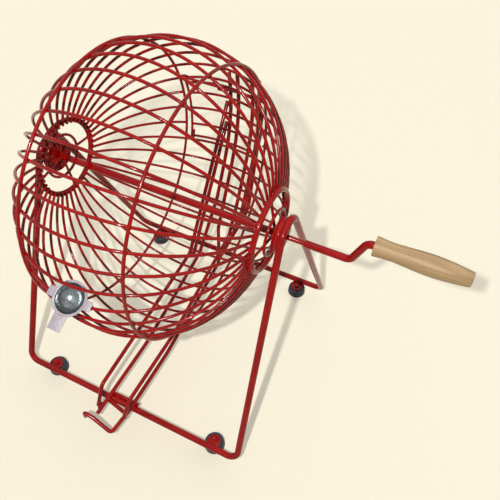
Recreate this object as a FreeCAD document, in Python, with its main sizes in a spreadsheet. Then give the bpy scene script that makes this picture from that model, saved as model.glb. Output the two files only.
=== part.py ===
import FreeCAD, Part
import math
import os

# Wire raffle drum: a bowed wire cage on a cranked shaft, carried by two bent-rod end frames,
# with a ball cup in the cage wall, a sprung filling door and a wire chute under the cage.
# Modelling axes: X along the shaft towards the crank, Y to the rear, Z up, floor at Z = 0,
# X = 0 midway between the two hoops and Y = 0 through the shaft.

Vec = FreeCAD.Vector

SIZES = {
    # shaft, crank and bearings
    "axle_height": 278.0,
    "shaft_rod": 5.5,
    "shaft_tube": 8.0,
    "tube_overhang": 2.35,
    "shaft_overhang": 10.0,
    "end_float": 1.0,
    "running_gap": 0.05,
    "crank_rod": 8.0,
    "crank_gap": 18.7,
    "crank_run": 47.9,
    "crank_advance": 12.9,
    "crank_throw": 31.0,
    "crank_bend_radius": 8.0,
    "crank_shoulder": 2.5,
    "crank_chamfer": 0.9,
    "crank_socket": 14.0,
    "pin_depth": 74.0,
    "pin_root": 0.5,
    "bearing_disc": 40.0,
    "bearing_thickness": 8.0,
    "bearing_edge": 1.0,
    "bearing_weld": 0.8,
    # wooden grip
    "grip_gap": 6.5,
    "grip_length": 90.0,
    "grip_face": 20.0,
    "grip_waist": 17.6,
    "grip_swell": 20.9,
    "grip_tip": 14.6,
    "grip_edge": 0.8,
    "grip_taper": 0.6,
    "grip_rounding": 1.2,
    # cage
    "rib_count": 40,
    "rib_wire": 3.2,
    "bow_half_length": 127.5,
    "bow_height": 137.5,
    "bow_offset": 23.0,
    "rib_end_radius": 42.0,
    "hoop_offset": 56.5,
    "hoop_rod": 3.4,
    "hub_ring_radius": 44.4,
    "hub_ring_rod": 6.0,
    "hub_inner_radius": 25.5,
    "hub_inner_wire": 3.3,
    "spoke_count": 4,
    "spoke_wire": 3.0,
    "spoke_dish": 5.2,
    "weld_sink": 0.3,
    # stand
    "stand_rod": 8.0,
    "leg_splay": 10.4,
    "corner_depth": 143.9,
    "bar_height": 16.4,
    "apex_radius": 20.5,
    "corner_radius": 13.0,
    "foot_inset": 37.0,
    "foot_setback": 9.9,
    "foot_top": 24.0,
    "foot_base": 26.0,
    "foot_height": 12.2,
    "foot_edge": 1.5,
    "foot_screw_depth": 9.0,
    "tab_thickness": 2.0,
    "tab_radius": 8.0,
    "bolt_shank": 4.0,
    "bolt_head": 7.0,
    "bolt_head_height": 3.0,
    # chute under the cage: lower rails and the ball stop
    "rail_wire": 5.2,
    "chute_left": -26.0,
    "chute_right": 8.5,
    "chute_lip": 172.0,
    "chute_tip": 185.0,
    "tip_inset": 3.5,
    "chute_straight": 150.0,
    "chute_knee": 58.0,
    "chute_back": 98.0,
    "chute_back_height": 51.5,
    "stop_depth": 182.0,
    "stop_end": -36.0,
    "stop_end_height": 25.0,
    "stop_turn": -35.0,
    "stop_turn_height": 39.0,
    "stop_dip": -22.0,
    "stop_dip_height": 34.0,
    # chute: side wires
    "side_left": -30.0,
    "side_left_lip": 163.0,
    "side_left_height": 53.0,
    "side_left_back": 79.5,
    "side_left_back_height": 71.0,
    "side_right": 12.0,
    "side_right_lip": 162.0,
    "side_right_shift": 0.3,
    "side_right_lift": 2.8,
    "side_right_height": 50.0,
    "side_right_knee": 40.0,
    "side_right_join": 15.0,
    "side_corner": 146.0,
    "side_weld_angle": 35.0,
    # chute: guard wires behind the cage
    "guard_radius": 195.0,
    "guard_top_angle": 10.0,
    "guard_foot_angle": 28.8,
    "guard_lower_left": -15.5,
    "guard_lower_right": -4.0,
    "guard_upper_right": 16.5,
    "guard_post": 26.0,
    "rise_left": 55.0,
    "rise_right": 100.0,
    "rise_side": 105.8,
    "rise_side_end": 60.0,
    "post_start": 92.0,
    "post_turn": 70.0,
    # chute: braces, cross wire and tie wire
    "brace_foot_behind": 3.0,
    "brace_foot_below": 2.0,
    "upper_weld_angle": 12.0,
    "lower_weld_angle": 3.0,
    "brace_foot_low": 104.0,
    "brace_elbow": 34.0,
    "brace_elbow_depth": 137.0,
    "brace_elbow_height": 150.0,
    "long_brace_foot": 13.7,
    "long_brace_foot_depth": 80.0,
    "long_brace_foot_height": 81.6,
    "long_brace_elbow": 42.0,
    "long_brace_elbow_depth": 128.0,
    "cross_left_depth": 150.0,
    "cross_right_depth": 156.0,
    "cross_inset": 0.4,
    "tie_overhang_left": 4.0,
    "tie_overhang_right": 5.0,
    "tie_angle": 17.0,
    # bending radii of the chute wires
    "easy_bend": 60.0,
    "guard_bend": 30.0,
    "post_bend": 20.0,
    "foot_bend": 14.0,
    "rail_bend": 9.0,
    "stop_bend": 4.5,
    # ends of the straight runs that stand for a bend
    "bend_chord": 18.0,
    "guard_chord": 7.0,
    # ball cup
    "cup_bowl": 30.0,
    "cup_flange": 35.5,
    "cup_depth": 12.5,
    "cup_sheet": 0.9,
    "cup_tilt": 66.0,
    "cup_ear_length": 6.5,
    "cup_ear_width": 10.0,
    "cup_tab_width": 14.0,
    "cup_tab_reach": 32.0,
    "cup_end_gap": 0.8,
    "barrel_gap": 0.4,
    "plate_overlap": 1.5,
    # filling door
    "door_half_width": 46.5,
    "door_clearance": 0.7,
    "door_top_angle": 15.5,
    "door_bottom_angle": 15.5,
    "door_hinge_angle": 20.0,
    "hinge_wire": 3.0,
    "hinge_overhang": 1.5,
    "coil_outside": 7.0,
    "coil_length": 8.0,
    "spring_outside": 8.0,
    "spring_length": 11.0,
    "spring_offset": 4.0,
    "side_overrun_angle": 1.0,
    "leg_start_angle": 1.2,
    "leg_overlap_angle": 1.0,
    "latch_start_angle": 4.0,
    "latch_length": 14.0,
    "latch_lean": 1.2,
}

# Sizes that follow from those above, so that hoops, stand, crank and door fit the cage.
FITTED = {
    "hoop_radius": "bow_offset + bow_height * sqrt(1 - (hoop_offset / bow_half_length) ^ 2)"
                   " + (rib_wire + hoop_rod) / 2 - weld_sink",
    "hub_ring_x": "bow_half_length * sqrt(1 - ((hub_ring_radius - bow_offset) / bow_height) ^ 2)"
                  " + (rib_wire + hub_ring_rod) / 2 - weld_sink",
    "spoke_root": "hub_ring_x + spoke_dish",
    "tube_end": "spoke_root + tube_overhang",
    "disc_face": "tube_end + end_float + bearing_thickness",
    "apex_reach": "disc_face + stand_rod / 2 - bearing_weld",
    "corner_reach": "apex_reach + leg_splay",
    "foot_reach": "corner_reach - foot_inset",
    "foot_depth": "corner_depth - foot_setback",
    "shaft_left_end": "apex_reach + shaft_overhang",
    "crank_start": "apex_reach + crank_gap",
    "crank_bend": "crank_start + crank_run",
    "grip_start": "crank_bend + crank_advance + grip_gap",
    "hinge_radius": "hoop_radius - (hoop_rod + hinge_wire) / 2 + weld_sink",
    "hinge_half": "hoop_offset + hoop_rod / 2 + hinge_overhang",
}

doc = FreeCAD.newDocument("raffle_drum")
sheet = doc.addObject("Spreadsheet::Sheet", "sizes")
cells = {alias: str(value) for alias, value in SIZES.items()}
cells.update({alias: "=" + formula for alias, formula in FITTED.items()})
for row, (alias, cell) in enumerate(cells.items(), start=1):
    sheet.set(f"A{row}", alias)
    sheet.set(f"B{row}", cell)
    sheet.setAlias(f"B{row}", alias)
doc.recompute()

nodes = []


def mm(alias):
    """The value that the sheet holds under this alias."""
    return float(sheet.get(alias))


axle = Vec(0, 0, mm("axle_height"))
X_AXIS = Vec(1, 0, 0)
Z_AXIS = Vec(0, 0, 1)
ALONG_X = FreeCAD.Rotation(Z_AXIS, X_AXIS)
STAND_SIDES = 12
WIRE_SIDES = 6
TURNED_SIDES = 16
CUTTER_OVERRUN = 1.0


def fill(sides):
    """How much wider a many-sided section is drawn, corner to corner, to match the round one."""
    return math.sqrt(2 * math.pi / (sides * math.sin(2 * math.pi / sides)))


def bind(thing, **sizes):
    """Ties properties of an object to expressions on the sheet."""
    for prop, expression in sizes.items():
        thing.setExpression(prop, expression)
    return thing


def primitive(kind, name, base=Vec(), rotation=FreeCAD.Rotation(), **sizes):
    """A Part primitive with its sizes tied to the sheet and its place set."""
    thing = doc.addObject("Part::" + kind, name)
    bind(thing, **sizes)
    thing.Placement = FreeCAD.Placement(base, rotation)
    return thing


def combine(kind, name, base, tool):
    """A boolean of two document objects."""
    thing = doc.addObject("Part::" + kind, name)
    thing.Base = base
    thing.Tool = tool
    return thing


def solid_feature(name, shape):
    """A plain feature that holds a computed shape."""
    thing = doc.addObject("Part::Feature", name)
    thing.Shape = shape
    return thing


def keep(thing, label):
    """Registers a finished sub-part under the name of its node."""
    thing.Label = label
    nodes.append(thing)
    return thing


def bent_path(points, bends):
    """Straight runs through the points; each inner corner is bent in short chords round its arc."""
    corners = [points[0]]
    for before, corner, after, radius in zip(points, points[1:], points[2:], bends):
        back = (before - corner).normalize()
        ahead = (after - corner).normalize()
        half = back.getAngle(ahead) / 2
        inward = (back + ahead).normalize()
        centre = corner + inward * (radius / math.sin(half))
        first = corner + back * (radius / math.tan(half))
        last = corner + ahead * (radius / math.tan(half))
        turn = math.pi - 2 * half
        chords = max(1, math.ceil(math.degrees(turn) / mm("bend_chord")))
        axis = (first - centre).cross(last - centre).normalize()
        for i in range(chords + 1):
            swing = FreeCAD.Rotation(axis, math.degrees(turn) * i / chords)
            corners.append(centre + swing.multVec(first - centre))
    corners.append(points[-1])
    return corners


def sweep(name, corners, radius_expression, sides):
    """A rod along a chain of straight runs, its many-sided section as large as the round one."""
    path = solid_feature(name + "_path", Part.makePolygon(corners))
    along = corners[1] - corners[0]
    section = doc.addObject("Part::RegularPolygon", name + "_section")
    section.Polygon = sides
    section.setExpression("Circumradius", f"({radius_expression}) * {fill(sides):.6f}")
    section.Placement = FreeCAD.Placement(corners[0], FreeCAD.Rotation(Z_AXIS, along))
    rod = doc.addObject("Part::Sweep", name)
    rod.Sections = [section]
    rod.Spine = (path, [f"Edge{i + 1}" for i in range(len(corners) - 1)])
    rod.Solid = True
    rod.Frenet = False
    rod.Transition = "Right corner"
    return rod


def group(name, things):
    """Several like pieces kept as one sub-part."""
    bundle = doc.addObject("Part::Compound", name)
    bundle.Links = things
    return keep(bundle, name)


def around(x, radius, angle):
    """A point at a radius from the shaft, the angle counted from the front over the top."""
    turn = math.radians(angle)
    return Vec(x, -radius * math.cos(turn), mm("axle_height") + radius * math.sin(turn))


# ---------------------------------------------------------------- stand: the two end frames
def end_frame(side, label):
    """Half of each floor bar and one pair of legs, bent from one rod over the shaft."""
    reach = side * mm("corner_reach")
    depth = mm("corner_depth")
    low = mm("bar_height")
    rise = mm("axle_height") - low
    slant = math.atan2(rise, depth) + math.asin(mm("apex_radius") / math.hypot(rise, depth))
    peak = depth * math.tan(slant)
    lean = (mm("corner_reach") - mm("apex_reach")) / (rise + mm("apex_radius"))
    points = [
        Vec(0, -depth, low),
        Vec(reach, -depth, low),
        Vec(side * (mm("corner_reach") - lean * peak), 0, low + peak),
        Vec(reach, depth, low),
        Vec(0, depth, low),
    ]
    bends = [mm("corner_radius"), mm("apex_radius"), mm("corner_radius")]
    return keep(sweep(label, bent_path(points, bends), "sizes.stand_rod / 2", STAND_SIDES), label)


end_frame(-1, "left_end_frame")
end_frame(1, "right_end_frame")


# ---------------------------------------------------------------- stand: bearing discs
def turned(name, outline, sides, base=Vec(), rotation=FreeCAD.Rotation()):
    """A many-sided turned solid: (radius, height) points from the axis, round and back to it."""
    wide = fill(sides)
    rings = []
    for radius, height in outline:
        spots = [2 * math.pi * i / sides for i in range(sides)]
        rings.append([Vec(radius * wide * math.cos(a), radius * wide * math.sin(a), height) for a in spots])
    faces = []
    for (low_radius, _), (high_radius, _), low, high in zip(outline, outline[1:], rings, rings[1:]):
        for i in range(sides):
            j = (i + 1) % sides
            corners = [low[i]] if low_radius == 0 else [low[i], low[j]]
            corners += [high[i]] if high_radius == 0 else [high[j], high[i]]
            faces.append(Part.Face(Part.makePolygon(corners + corners[:1])))
    thing = solid_feature(name, Part.Solid(Part.Shell(faces)).removeSplitter())
    thing.Placement = FreeCAD.Placement(base, rotation)
    return thing


def bearing_disc(side, label):
    """A turned disc welded inside the leg apex, bored for the shaft."""
    thickness = mm("bearing_thickness")
    radius = mm("bearing_disc") / 2
    edge = mm("bearing_edge")
    base = axle + X_AXIS * (mm("disc_face") - thickness if side > 0 else -mm("disc_face"))
    outline = [(0, 0), (radius - edge, 0), (radius, edge), (radius, thickness - edge),
               (radius - edge, thickness), (0, thickness)]
    blank = turned(label + "_blank", outline, TURNED_SIDES, base, ALONG_X)
    bore = primitive("Cylinder", label + "_bore", base - X_AXIS * CUTTER_OVERRUN, ALONG_X,
                     Radius="sizes.shaft_rod / 2 + sizes.running_gap",
                     Height=f"sizes.bearing_thickness + {2 * CUTTER_OVERRUN}")
    return keep(combine("Cut", label, blank, bore), label)


bearing_disc(-1, "bearing_disc_left")
bearing_disc(1, "bearing_disc_right")


# ---------------------------------------------------------------- stand: feet
corners = [("front_left", -1, -1), ("front_right", 1, -1), ("rear_left", -1, 1), ("rear_right", 1, 1)]
tab_below_bar = mm("bar_height") - mm("foot_height") - mm("tab_thickness")
bar_side = (mm("corner_depth") - math.sqrt((mm("stand_rod") / 2) ** 2 - tab_below_bar ** 2)
            + mm("weld_sink"))
hole_width = f"sizes.bolt_shank / 2 * {fill(STAND_SIDES):.6f}"
feet = []
tabs = []
bolts = []
for place, sx, sy in corners:
    x = sx * mm("foot_reach")
    y = sy * mm("foot_depth")
    height = mm("foot_height")
    edge = mm("foot_edge")
    top = mm("foot_top") / 2
    bottom = mm("foot_base") / 2
    outline = [(0, 0), (bottom - edge, 0), (bottom, edge), (top, height - edge), (top - edge, height),
               (0, height)]
    block = turned("foot_block_" + place, outline, TURNED_SIDES, Vec(x, y, 0))
    socket = primitive("Prism", "foot_socket_" + place, Vec(x, y, height - mm("foot_screw_depth")),
                       Circumradius=hole_width,
                       Height=f"sizes.foot_screw_depth + {CUTTER_OVERRUN}")
    socket.Polygon = STAND_SIDES
    feet.append(combine("Cut", "foot_" + place, block, socket))

    plate = primitive("Prism", "tab_plate_" + place, Vec(x, y, height),
                      Circumradius=f"sizes.tab_radius * {fill(TURNED_SIDES):.6f}",
                      Height="sizes.tab_thickness")
    plate.Polygon = TURNED_SIDES
    strip = primitive("Box", "tab_strip_" + place,
                      Vec(x - mm("tab_radius"), y if sy > 0 else -bar_side, height),
                      Length="2 * sizes.tab_radius", Height="sizes.tab_thickness")
    strip.Width = bar_side - mm("foot_depth")
    beyond = primitive("Box", "tab_limit_" + place,
                       Vec(x - 2 * mm("tab_radius"),
                           bar_side if sy > 0 else -bar_side - 2 * mm("tab_radius"),
                           height - CUTTER_OVERRUN),
                       Length="4 * sizes.tab_radius", Width="2 * sizes.tab_radius",
                       Height=f"sizes.tab_thickness + {2 * CUTTER_OVERRUN}")
    whole = combine("Fuse", "tab_whole_" + place, plate, strip)
    square = combine("Cut", "tab_square_" + place, whole, beyond)
    hole = primitive("Prism", "tab_hole_" + place, Vec(x, y, height - CUTTER_OVERRUN),
                     Circumradius=hole_width,
                     Height=f"sizes.tab_thickness + {2 * CUTTER_OVERRUN}")
    hole.Polygon = STAND_SIDES
    tabs.append(combine("Cut", "tab_" + place, square, hole))

    seat = height + mm("tab_thickness")
    stem = primitive("Prism", "bolt_stem_" + place,
                     Vec(x, y, height - mm("foot_screw_depth")),
                     Circumradius=hole_width, Height="sizes.tab_thickness + sizes.foot_screw_depth")
    stem.Polygon = STAND_SIDES
    head = primitive("Prism", "bolt_head_" + place, Vec(x, y, seat),
                     Circumradius="sizes.bolt_head / 1.7320508", Height="sizes.bolt_head_height")
    head.Polygon = 6
    bolts.append(combine("Fuse", "bolt_" + place, head, stem))
group("rubber_feet", feet)
group("foot_tabs", tabs)
group("foot_bolts", bolts)


# ---------------------------------------------------------------- stand: chute under the cage
RAIL = "sizes.rail_wire / 2"
rail_seat = mm("bar_height") + mm("stand_rod") / 2 + mm("rail_wire") / 2 - mm("weld_sink")
weld_reach = mm("rail_wire") - mm("weld_sink")


def guard_arc(x):
    """Points of a chute wire's upper part, concentric with the cage and clear of the cup."""
    span = mm("guard_foot_angle") + mm("guard_top_angle")
    chords = math.ceil(span / mm("guard_chord"))
    first = 180 + mm("guard_foot_angle")
    return [around(x, mm("guard_radius"), first - span * i / chords) for i in range(chords + 1)]


def guarded_rail(label, points, bends, x):
    """A chute wire that runs back along the floor, turns up and follows the cage round."""
    arc = guard_arc(x)
    path = bent_path(points + arc[:1], bends) + arc[1:]
    return keep(sweep(label, path, RAIL, WIRE_SIDES), label)


def back_point(x, behind):
    """A point on the line that meets the guard arc at its tangent, this far below the arc."""
    foot = math.radians(mm("guard_foot_angle"))
    low = around(x, mm("guard_radius"), 180 + mm("guard_foot_angle"))
    return low - Vec(0, math.sin(foot), math.cos(foot)) * behind


left = mm("chute_left")
right = mm("chute_right")
turn_up = [mm("foot_bend"), mm("guard_bend")]

guarded_rail(
    "chute_rail_lower_left",
    [
        Vec(left, -mm("chute_lip"), rail_seat),
        Vec(left, -mm("chute_knee"), rail_seat),
        Vec(left, mm("chute_back"), mm("chute_back_height")),
        back_point(mm("guard_lower_left"), mm("rise_left")),
    ],
    [mm("easy_bend")] + turn_up,
    mm("guard_lower_left"),
)

# the lower right rail crosses in front of the chute as its ball stop and curls down at the end
guarded_rail(
    "chute_rail_lower_right",
    [
        Vec(mm("stop_end"), -mm("stop_depth"), mm("stop_end_height")),
        Vec(mm("stop_turn"), -mm("stop_depth"), mm("stop_turn_height")),
        Vec(mm("stop_dip"), -mm("stop_depth"), mm("stop_dip_height")),
        Vec(right - mm("tip_inset"), -mm("chute_tip"), rail_seat),
        Vec(right, -mm("chute_straight"), rail_seat),
        Vec(right, -mm("chute_knee"), rail_seat),
        Vec(right, mm("chute_back"), mm("chute_back_height")),
        back_point(mm("guard_lower_right"), mm("rise_right")),
    ],
    [mm("stop_bend"), mm("rail_bend"), mm("stop_bend"), mm("easy_bend"), mm("easy_bend")] + turn_up,
    mm("guard_lower_right"),
)

# the side wires start on the lower rails and are welded beside the guard wires
side_left = mm("side_left")
beside_left_guard = mm("guard_lower_left") - weld_reach
side_weld = math.radians(mm("side_weld_angle"))
side_left_path = bent_path(
    [
        Vec(left - weld_reach * math.cos(side_weld), -mm("side_left_lip"),
            rail_seat + weld_reach * math.sin(side_weld)),
        Vec(side_left, -mm("side_corner"), mm("side_left_height")),
        Vec(side_left, mm("side_left_back"), mm("side_left_back_height")),
        around(beside_left_guard, mm("guard_radius"), 180 + mm("lower_weld_angle")),
    ],
    [mm("rail_bend"), mm("foot_bend")],
)
keep(sweep("chute_rail_upper_left", side_left_path, RAIL, WIRE_SIDES), "chute_rail_upper_left")

brace_left_path = [
    Vec(side_left + weld_reach, mm("side_left_back") + mm("brace_foot_behind"),
        mm("side_left_back_height") - mm("brace_foot_below")),
    around(beside_left_guard, mm("guard_radius"), 180 + mm("upper_weld_angle")),
]
keep(sweep("chute_brace_left", brace_left_path, RAIL, WIRE_SIDES), "chute_brace_left")

guarded_rail(
    "chute_rail_upper_right",
    [
        Vec(right + mm("side_right_shift"), -mm("side_right_lip"), rail_seat + mm("side_right_lift")),
        Vec(mm("side_right"), -mm("side_corner"), mm("side_right_height")),
        Vec(mm("side_right"), -mm("side_right_knee"), mm("side_right_height")),
        back_point(mm("side_right_join"), mm("rise_side")),
        back_point(mm("guard_upper_right"), mm("rise_side_end")),
    ],
    [mm("rail_bend"), mm("easy_bend")] + turn_up,
    mm("guard_upper_right"),
)

guarded_rail(
    "chute_post_right",
    [
        back_point(mm("side_right_join") + weld_reach, mm("post_start")),
        back_point(mm("guard_post"), mm("post_turn")),
    ],
    [mm("post_bend")],
    mm("guard_post"),
)

beside_right_guard = mm("guard_post") + weld_reach
low_foot = back_point(mm("side_right_join") + weld_reach, mm("brace_foot_low"))
low_elbow = Vec(mm("brace_elbow"), mm("brace_elbow_depth"), mm("brace_elbow_height"))
long_foot = Vec(mm("long_brace_foot") + weld_reach, mm("long_brace_foot_depth"),
                mm("long_brace_foot_height"))
long_elbow = Vec(mm("long_brace_elbow"), mm("long_brace_elbow_depth"), mm("brace_elbow_height"))
braces = []
for name, foot, elbow, weld_angle in [
    ("short", low_foot, low_elbow, mm("upper_weld_angle")),
    ("long", long_foot, long_elbow, mm("lower_weld_angle")),
]:
    top = around(beside_right_guard, mm("guard_radius"), 180 + weld_angle)
    path = bent_path([foot, elbow, top], [mm("easy_bend")])
    braces.append(sweep("chute_brace_right_" + name, path, RAIL, WIRE_SIDES))
group("chute_braces_right", braces)

cross_path = [
    Vec(left + mm("rail_wire") / 2 - mm("weld_sink"), -mm("cross_left_depth"), rail_seat),
    Vec(right - mm("rail_wire") / 2 - mm("cross_inset"), -mm("cross_right_depth"), rail_seat),
]
tie_reach = (mm("stand_rod") + mm("rail_wire")) / 2 - mm("weld_sink")
tie_angle = math.radians(mm("tie_angle"))
tie_depth = -mm("corner_depth") + tie_reach * math.cos(tie_angle)
tie_height = mm("bar_height") + tie_reach * math.sin(tie_angle)
tie_path = [
    Vec(left - mm("tie_overhang_left"), tie_depth, tie_height),
    Vec(right + mm("tie_overhang_right"), tie_depth, tie_height),
]
group("chute_cross_wires", [
    sweep("cross_wire", cross_path, RAIL, WIRE_SIDES),
    sweep("tie_wire", tie_path, RAIL, WIRE_SIDES),
])


# ---------------------------------------------------------------- cage: shaft and crank
rod_length = "sizes.shaft_left_end + sizes.crank_start + sizes.crank_socket"
shaft = primitive("Cylinder", "shaft_rod", axle - X_AXIS * mm("shaft_left_end"), ALONG_X,
                  Radius="sizes.shaft_rod / 2", Height=rod_length)
keep(shaft, "shaft_rod")

tube = primitive("Cylinder", "tube_outside", axle - X_AXIS * mm("tube_end"), ALONG_X,
                 Radius="sizes.shaft_tube / 2", Height="2 * sizes.tube_end")
tube_bore = primitive("Cylinder", "tube_bore", axle - X_AXIS * (mm("tube_end") + CUTTER_OVERRUN), ALONG_X,
                      Radius="sizes.shaft_rod / 2", Height=f"2 * (sizes.tube_end + {CUTTER_OVERRUN})")
keep(combine("Cut", "shaft_tube", tube, tube_bore), "shaft_tube")

shoulder_end = mm("crank_start") + mm("crank_shoulder")
grip_start = mm("grip_start")
pin_axis = Vec(0, 0, mm("axle_height") + mm("crank_throw"))
crank_path = bent_path(
    [
        axle + X_AXIS * shoulder_end,
        axle + X_AXIS * mm("crank_bend"),
        pin_axis + X_AXIS * (mm("crank_bend") + mm("crank_advance")),
        pin_axis + X_AXIS * (grip_start - mm("pin_root")),
    ],
    [mm("crank_bend_radius")] * 2,
)
crank_rod = sweep("crank_bar", crank_path, "sizes.crank_rod / 2", STAND_SIDES)
pin = primitive("Cylinder", "crank_pin", pin_axis + X_AXIS * (grip_start - 2 * mm("pin_root")), ALONG_X,
                Radius="sizes.crank_rod / 2", Height="sizes.pin_depth + 2 * sizes.pin_root")
shoulder_outline = [(0, 0), (mm("crank_rod") / 2 - mm("crank_chamfer"), 0),
                    (mm("crank_rod") / 2, mm("crank_shoulder")), (0, mm("crank_shoulder"))]
shoulder = turned("crank_shoulder", shoulder_outline, STAND_SIDES,
                  axle + X_AXIS * mm("crank_start"), ALONG_X)
socket = primitive("Cylinder", "crank_socket",
                   axle + X_AXIS * (mm("crank_start") - CUTTER_OVERRUN), ALONG_X,
                   Radius="sizes.shaft_rod / 2", Height=f"sizes.crank_socket + {CUTTER_OVERRUN}")
crank_whole = doc.addObject("Part::MultiFuse", "crank_whole")
crank_whole.Shapes = [crank_rod, shoulder, pin]
keep(combine("Cut", "crank", crank_whole, socket), "crank")


# ---------------------------------------------------------------- grip on the crank pin
WAIST_AT = 0.20
SWELL_AT = 0.55
TIP_AT = 0.94
CONTOUR_POINTS = 11
grip_long = mm("grip_length")
contour = Part.BSplineCurve()
contour.interpolate([
    Vec(mm("grip_face") / 2, 0, mm("grip_edge")),
    Vec(mm("grip_waist") / 2, 0, WAIST_AT * grip_long),
    Vec(mm("grip_swell") / 2, 0, SWELL_AT * grip_long),
    Vec(mm("grip_tip") / 2 + mm("grip_taper"), 0, TIP_AT * grip_long),
    Vec(mm("grip_tip") / 2, 0, grip_long - mm("grip_rounding")),
])
grip_outline = [(0, 0), (mm("grip_face") / 2 - mm("grip_edge"), 0)]
grip_outline += [(spot.x, spot.z) for spot in contour.discretize(Number=CONTOUR_POINTS)]
grip_outline += [(mm("grip_tip") / 2 - mm("grip_rounding"), grip_long), (0, grip_long)]
grip_blank = turned("grip_blank", grip_outline, TURNED_SIDES, pin_axis + X_AXIS * grip_start, ALONG_X)
grip_bore = primitive("Cylinder", "grip_bore",
                      pin_axis + X_AXIS * (grip_start - CUTTER_OVERRUN), ALONG_X,
                      Radius="sizes.crank_rod / 2 + sizes.running_gap",
                      Height=f"sizes.pin_depth + sizes.end_float + {CUTTER_OVERRUN}")
keep(combine("Cut", "wood_grip", grip_blank, grip_bore), "wood_grip")


# ---------------------------------------------------------------- cage: the bow of the ribs
def bow(turn):
    """A point of the rib's bow: half an ellipse set off from the shaft, as (x, radius)."""
    return (mm("bow_half_length") * math.sin(turn),
            mm("bow_offset") + mm("bow_height") * math.cos(turn))


def bow_turn_at(x):
    """The ellipse parameter where the bow passes this distance from the middle."""
    return math.asin(x / mm("bow_half_length"))


hoop_x = mm("hoop_offset")
hoop_turn = bow_turn_at(hoop_x)
end_turn = math.acos((mm("rib_end_radius") - mm("bow_offset")) / mm("bow_height"))


# ---------------------------------------------------------------- cage: hoops
def ring(label, x, radius, sides, wire):
    """A welded ring of wire around the shaft, rolled in short straight chords."""
    points = [around(x, radius, 360.0 * i / sides) for i in range(sides)]
    return keep(sweep(label, points + points[:1], wire, WIRE_SIDES), label)


rib_count = int(mm("rib_count"))
pitch = 360.0 / rib_count
for side, name in [(-1, "left"), (1, "right")]:
    ring("hoop_" + name, side * hoop_x, mm("hoop_radius"), rib_count, "sizes.hoop_rod / 2")


# ---------------------------------------------------------------- cage: bowed ribs
def between(first, last, steps):
    """Evenly spaced parameters from first to last."""
    return [first + (last - first) * i / steps for i in range(steps + 1)]


shoulder_turns = between(hoop_turn, end_turn, 3)
crown_turns = between(-hoop_turn, hoop_turn, 4)
full_turns = [-t for t in reversed(shoulder_turns[1:])] + crown_turns + shoulder_turns[1:]


def bow_path(turns, radial=0.0):
    """A chain of short straight runs along the bow, in the plane Y = 0 over the origin."""
    corners = []
    for turn in turns:
        x, radius = bow(turn)
        corners.append(Vec(x, 0, radius + radial))
    return corners


def placed(shape, angle):
    """A copy of a piece drawn over the origin, turned about the shaft to its place on the cage."""
    copy = shape.copy()
    copy.rotate(Vec(), X_AXIS, 90 - angle)
    copy.translate(axle)
    return copy


RIB = "sizes.rib_wire / 2"
rib = sweep("rib_pattern", bow_path(full_turns), RIB, WIRE_SIDES)
doc.recompute()

door_angle = 180.0
cup_ribs = {0}
door_ribs = {rib_count // 2 - 1, rib_count // 2, rib_count // 2 + 1}
sectors = ["front", "upper_front", "top", "upper_rear", "rear", "lower_rear", "bottom", "lower_front"]
per_sector = rib_count // len(sectors)
for number, sector in enumerate(sectors):
    first = number * per_sector - per_sector // 2
    chosen = [i % rib_count for i in range(first, first + per_sector)]
    chosen = [i for i in chosen if i not in cup_ribs | door_ribs]
    shape = Part.makeCompound([placed(rib.Shape, i * pitch) for i in chosen])
    keep(solid_feature("ribs_" + sector, shape), "ribs_" + sector)

# short ribs at both sides of the door opening, ending just past the hoops
stub_turns = between(bow_turn_at(hoop_x - mm("hoop_rod") / 2), end_turn, 3)
stub = sweep("rib_stub_pattern", bow_path(stub_turns), RIB, WIRE_SIDES)
mirrored = sweep("rib_stub_mirror_pattern", bow_path([-t for t in stub_turns]), RIB, WIRE_SIDES)
doc.recompute()
stubs = [placed(piece.Shape, i * pitch) for i in sorted(door_ribs) for piece in (stub, mirrored)]
keep(solid_feature("ribs_beside_door", Part.makeCompound(stubs)), "ribs_beside_door")

# the rib that carries the ball cup: two halves, straightened into pivot ends
ear_end = mm("cup_flange") / 2 + mm("cup_ear_length")
pivot_start = mm("cup_flange") / 2 + mm("cup_end_gap")
pivot_radius = bow(bow_turn_at(ear_end))[1]
pivot_bend = ear_end + mm("rib_wire")


def pivot_rib(side, name):
    """Half a rib whose inner end runs straight along the cup's pivot line."""
    turns = [bow_turn_at(pivot_bend)] + shoulder_turns
    corners = [Vec(side * pivot_start, 0, pivot_radius), Vec(side * ear_end, 0, pivot_radius)]
    corners += [Vec(side * bow(t)[0], 0, bow(t)[1]) for t in turns]
    return sweep(name, corners, RIB, WIRE_SIDES)


pivot_pieces = [pivot_rib(-1, "pivot_rib_left"), pivot_rib(1, "pivot_rib_right")]
doc.recompute()
halves = [placed(piece.Shape, 0) for piece in pivot_pieces]
keep(solid_feature("ribs_at_cup", Part.makeCompound(halves)), "ribs_at_cup")


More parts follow.
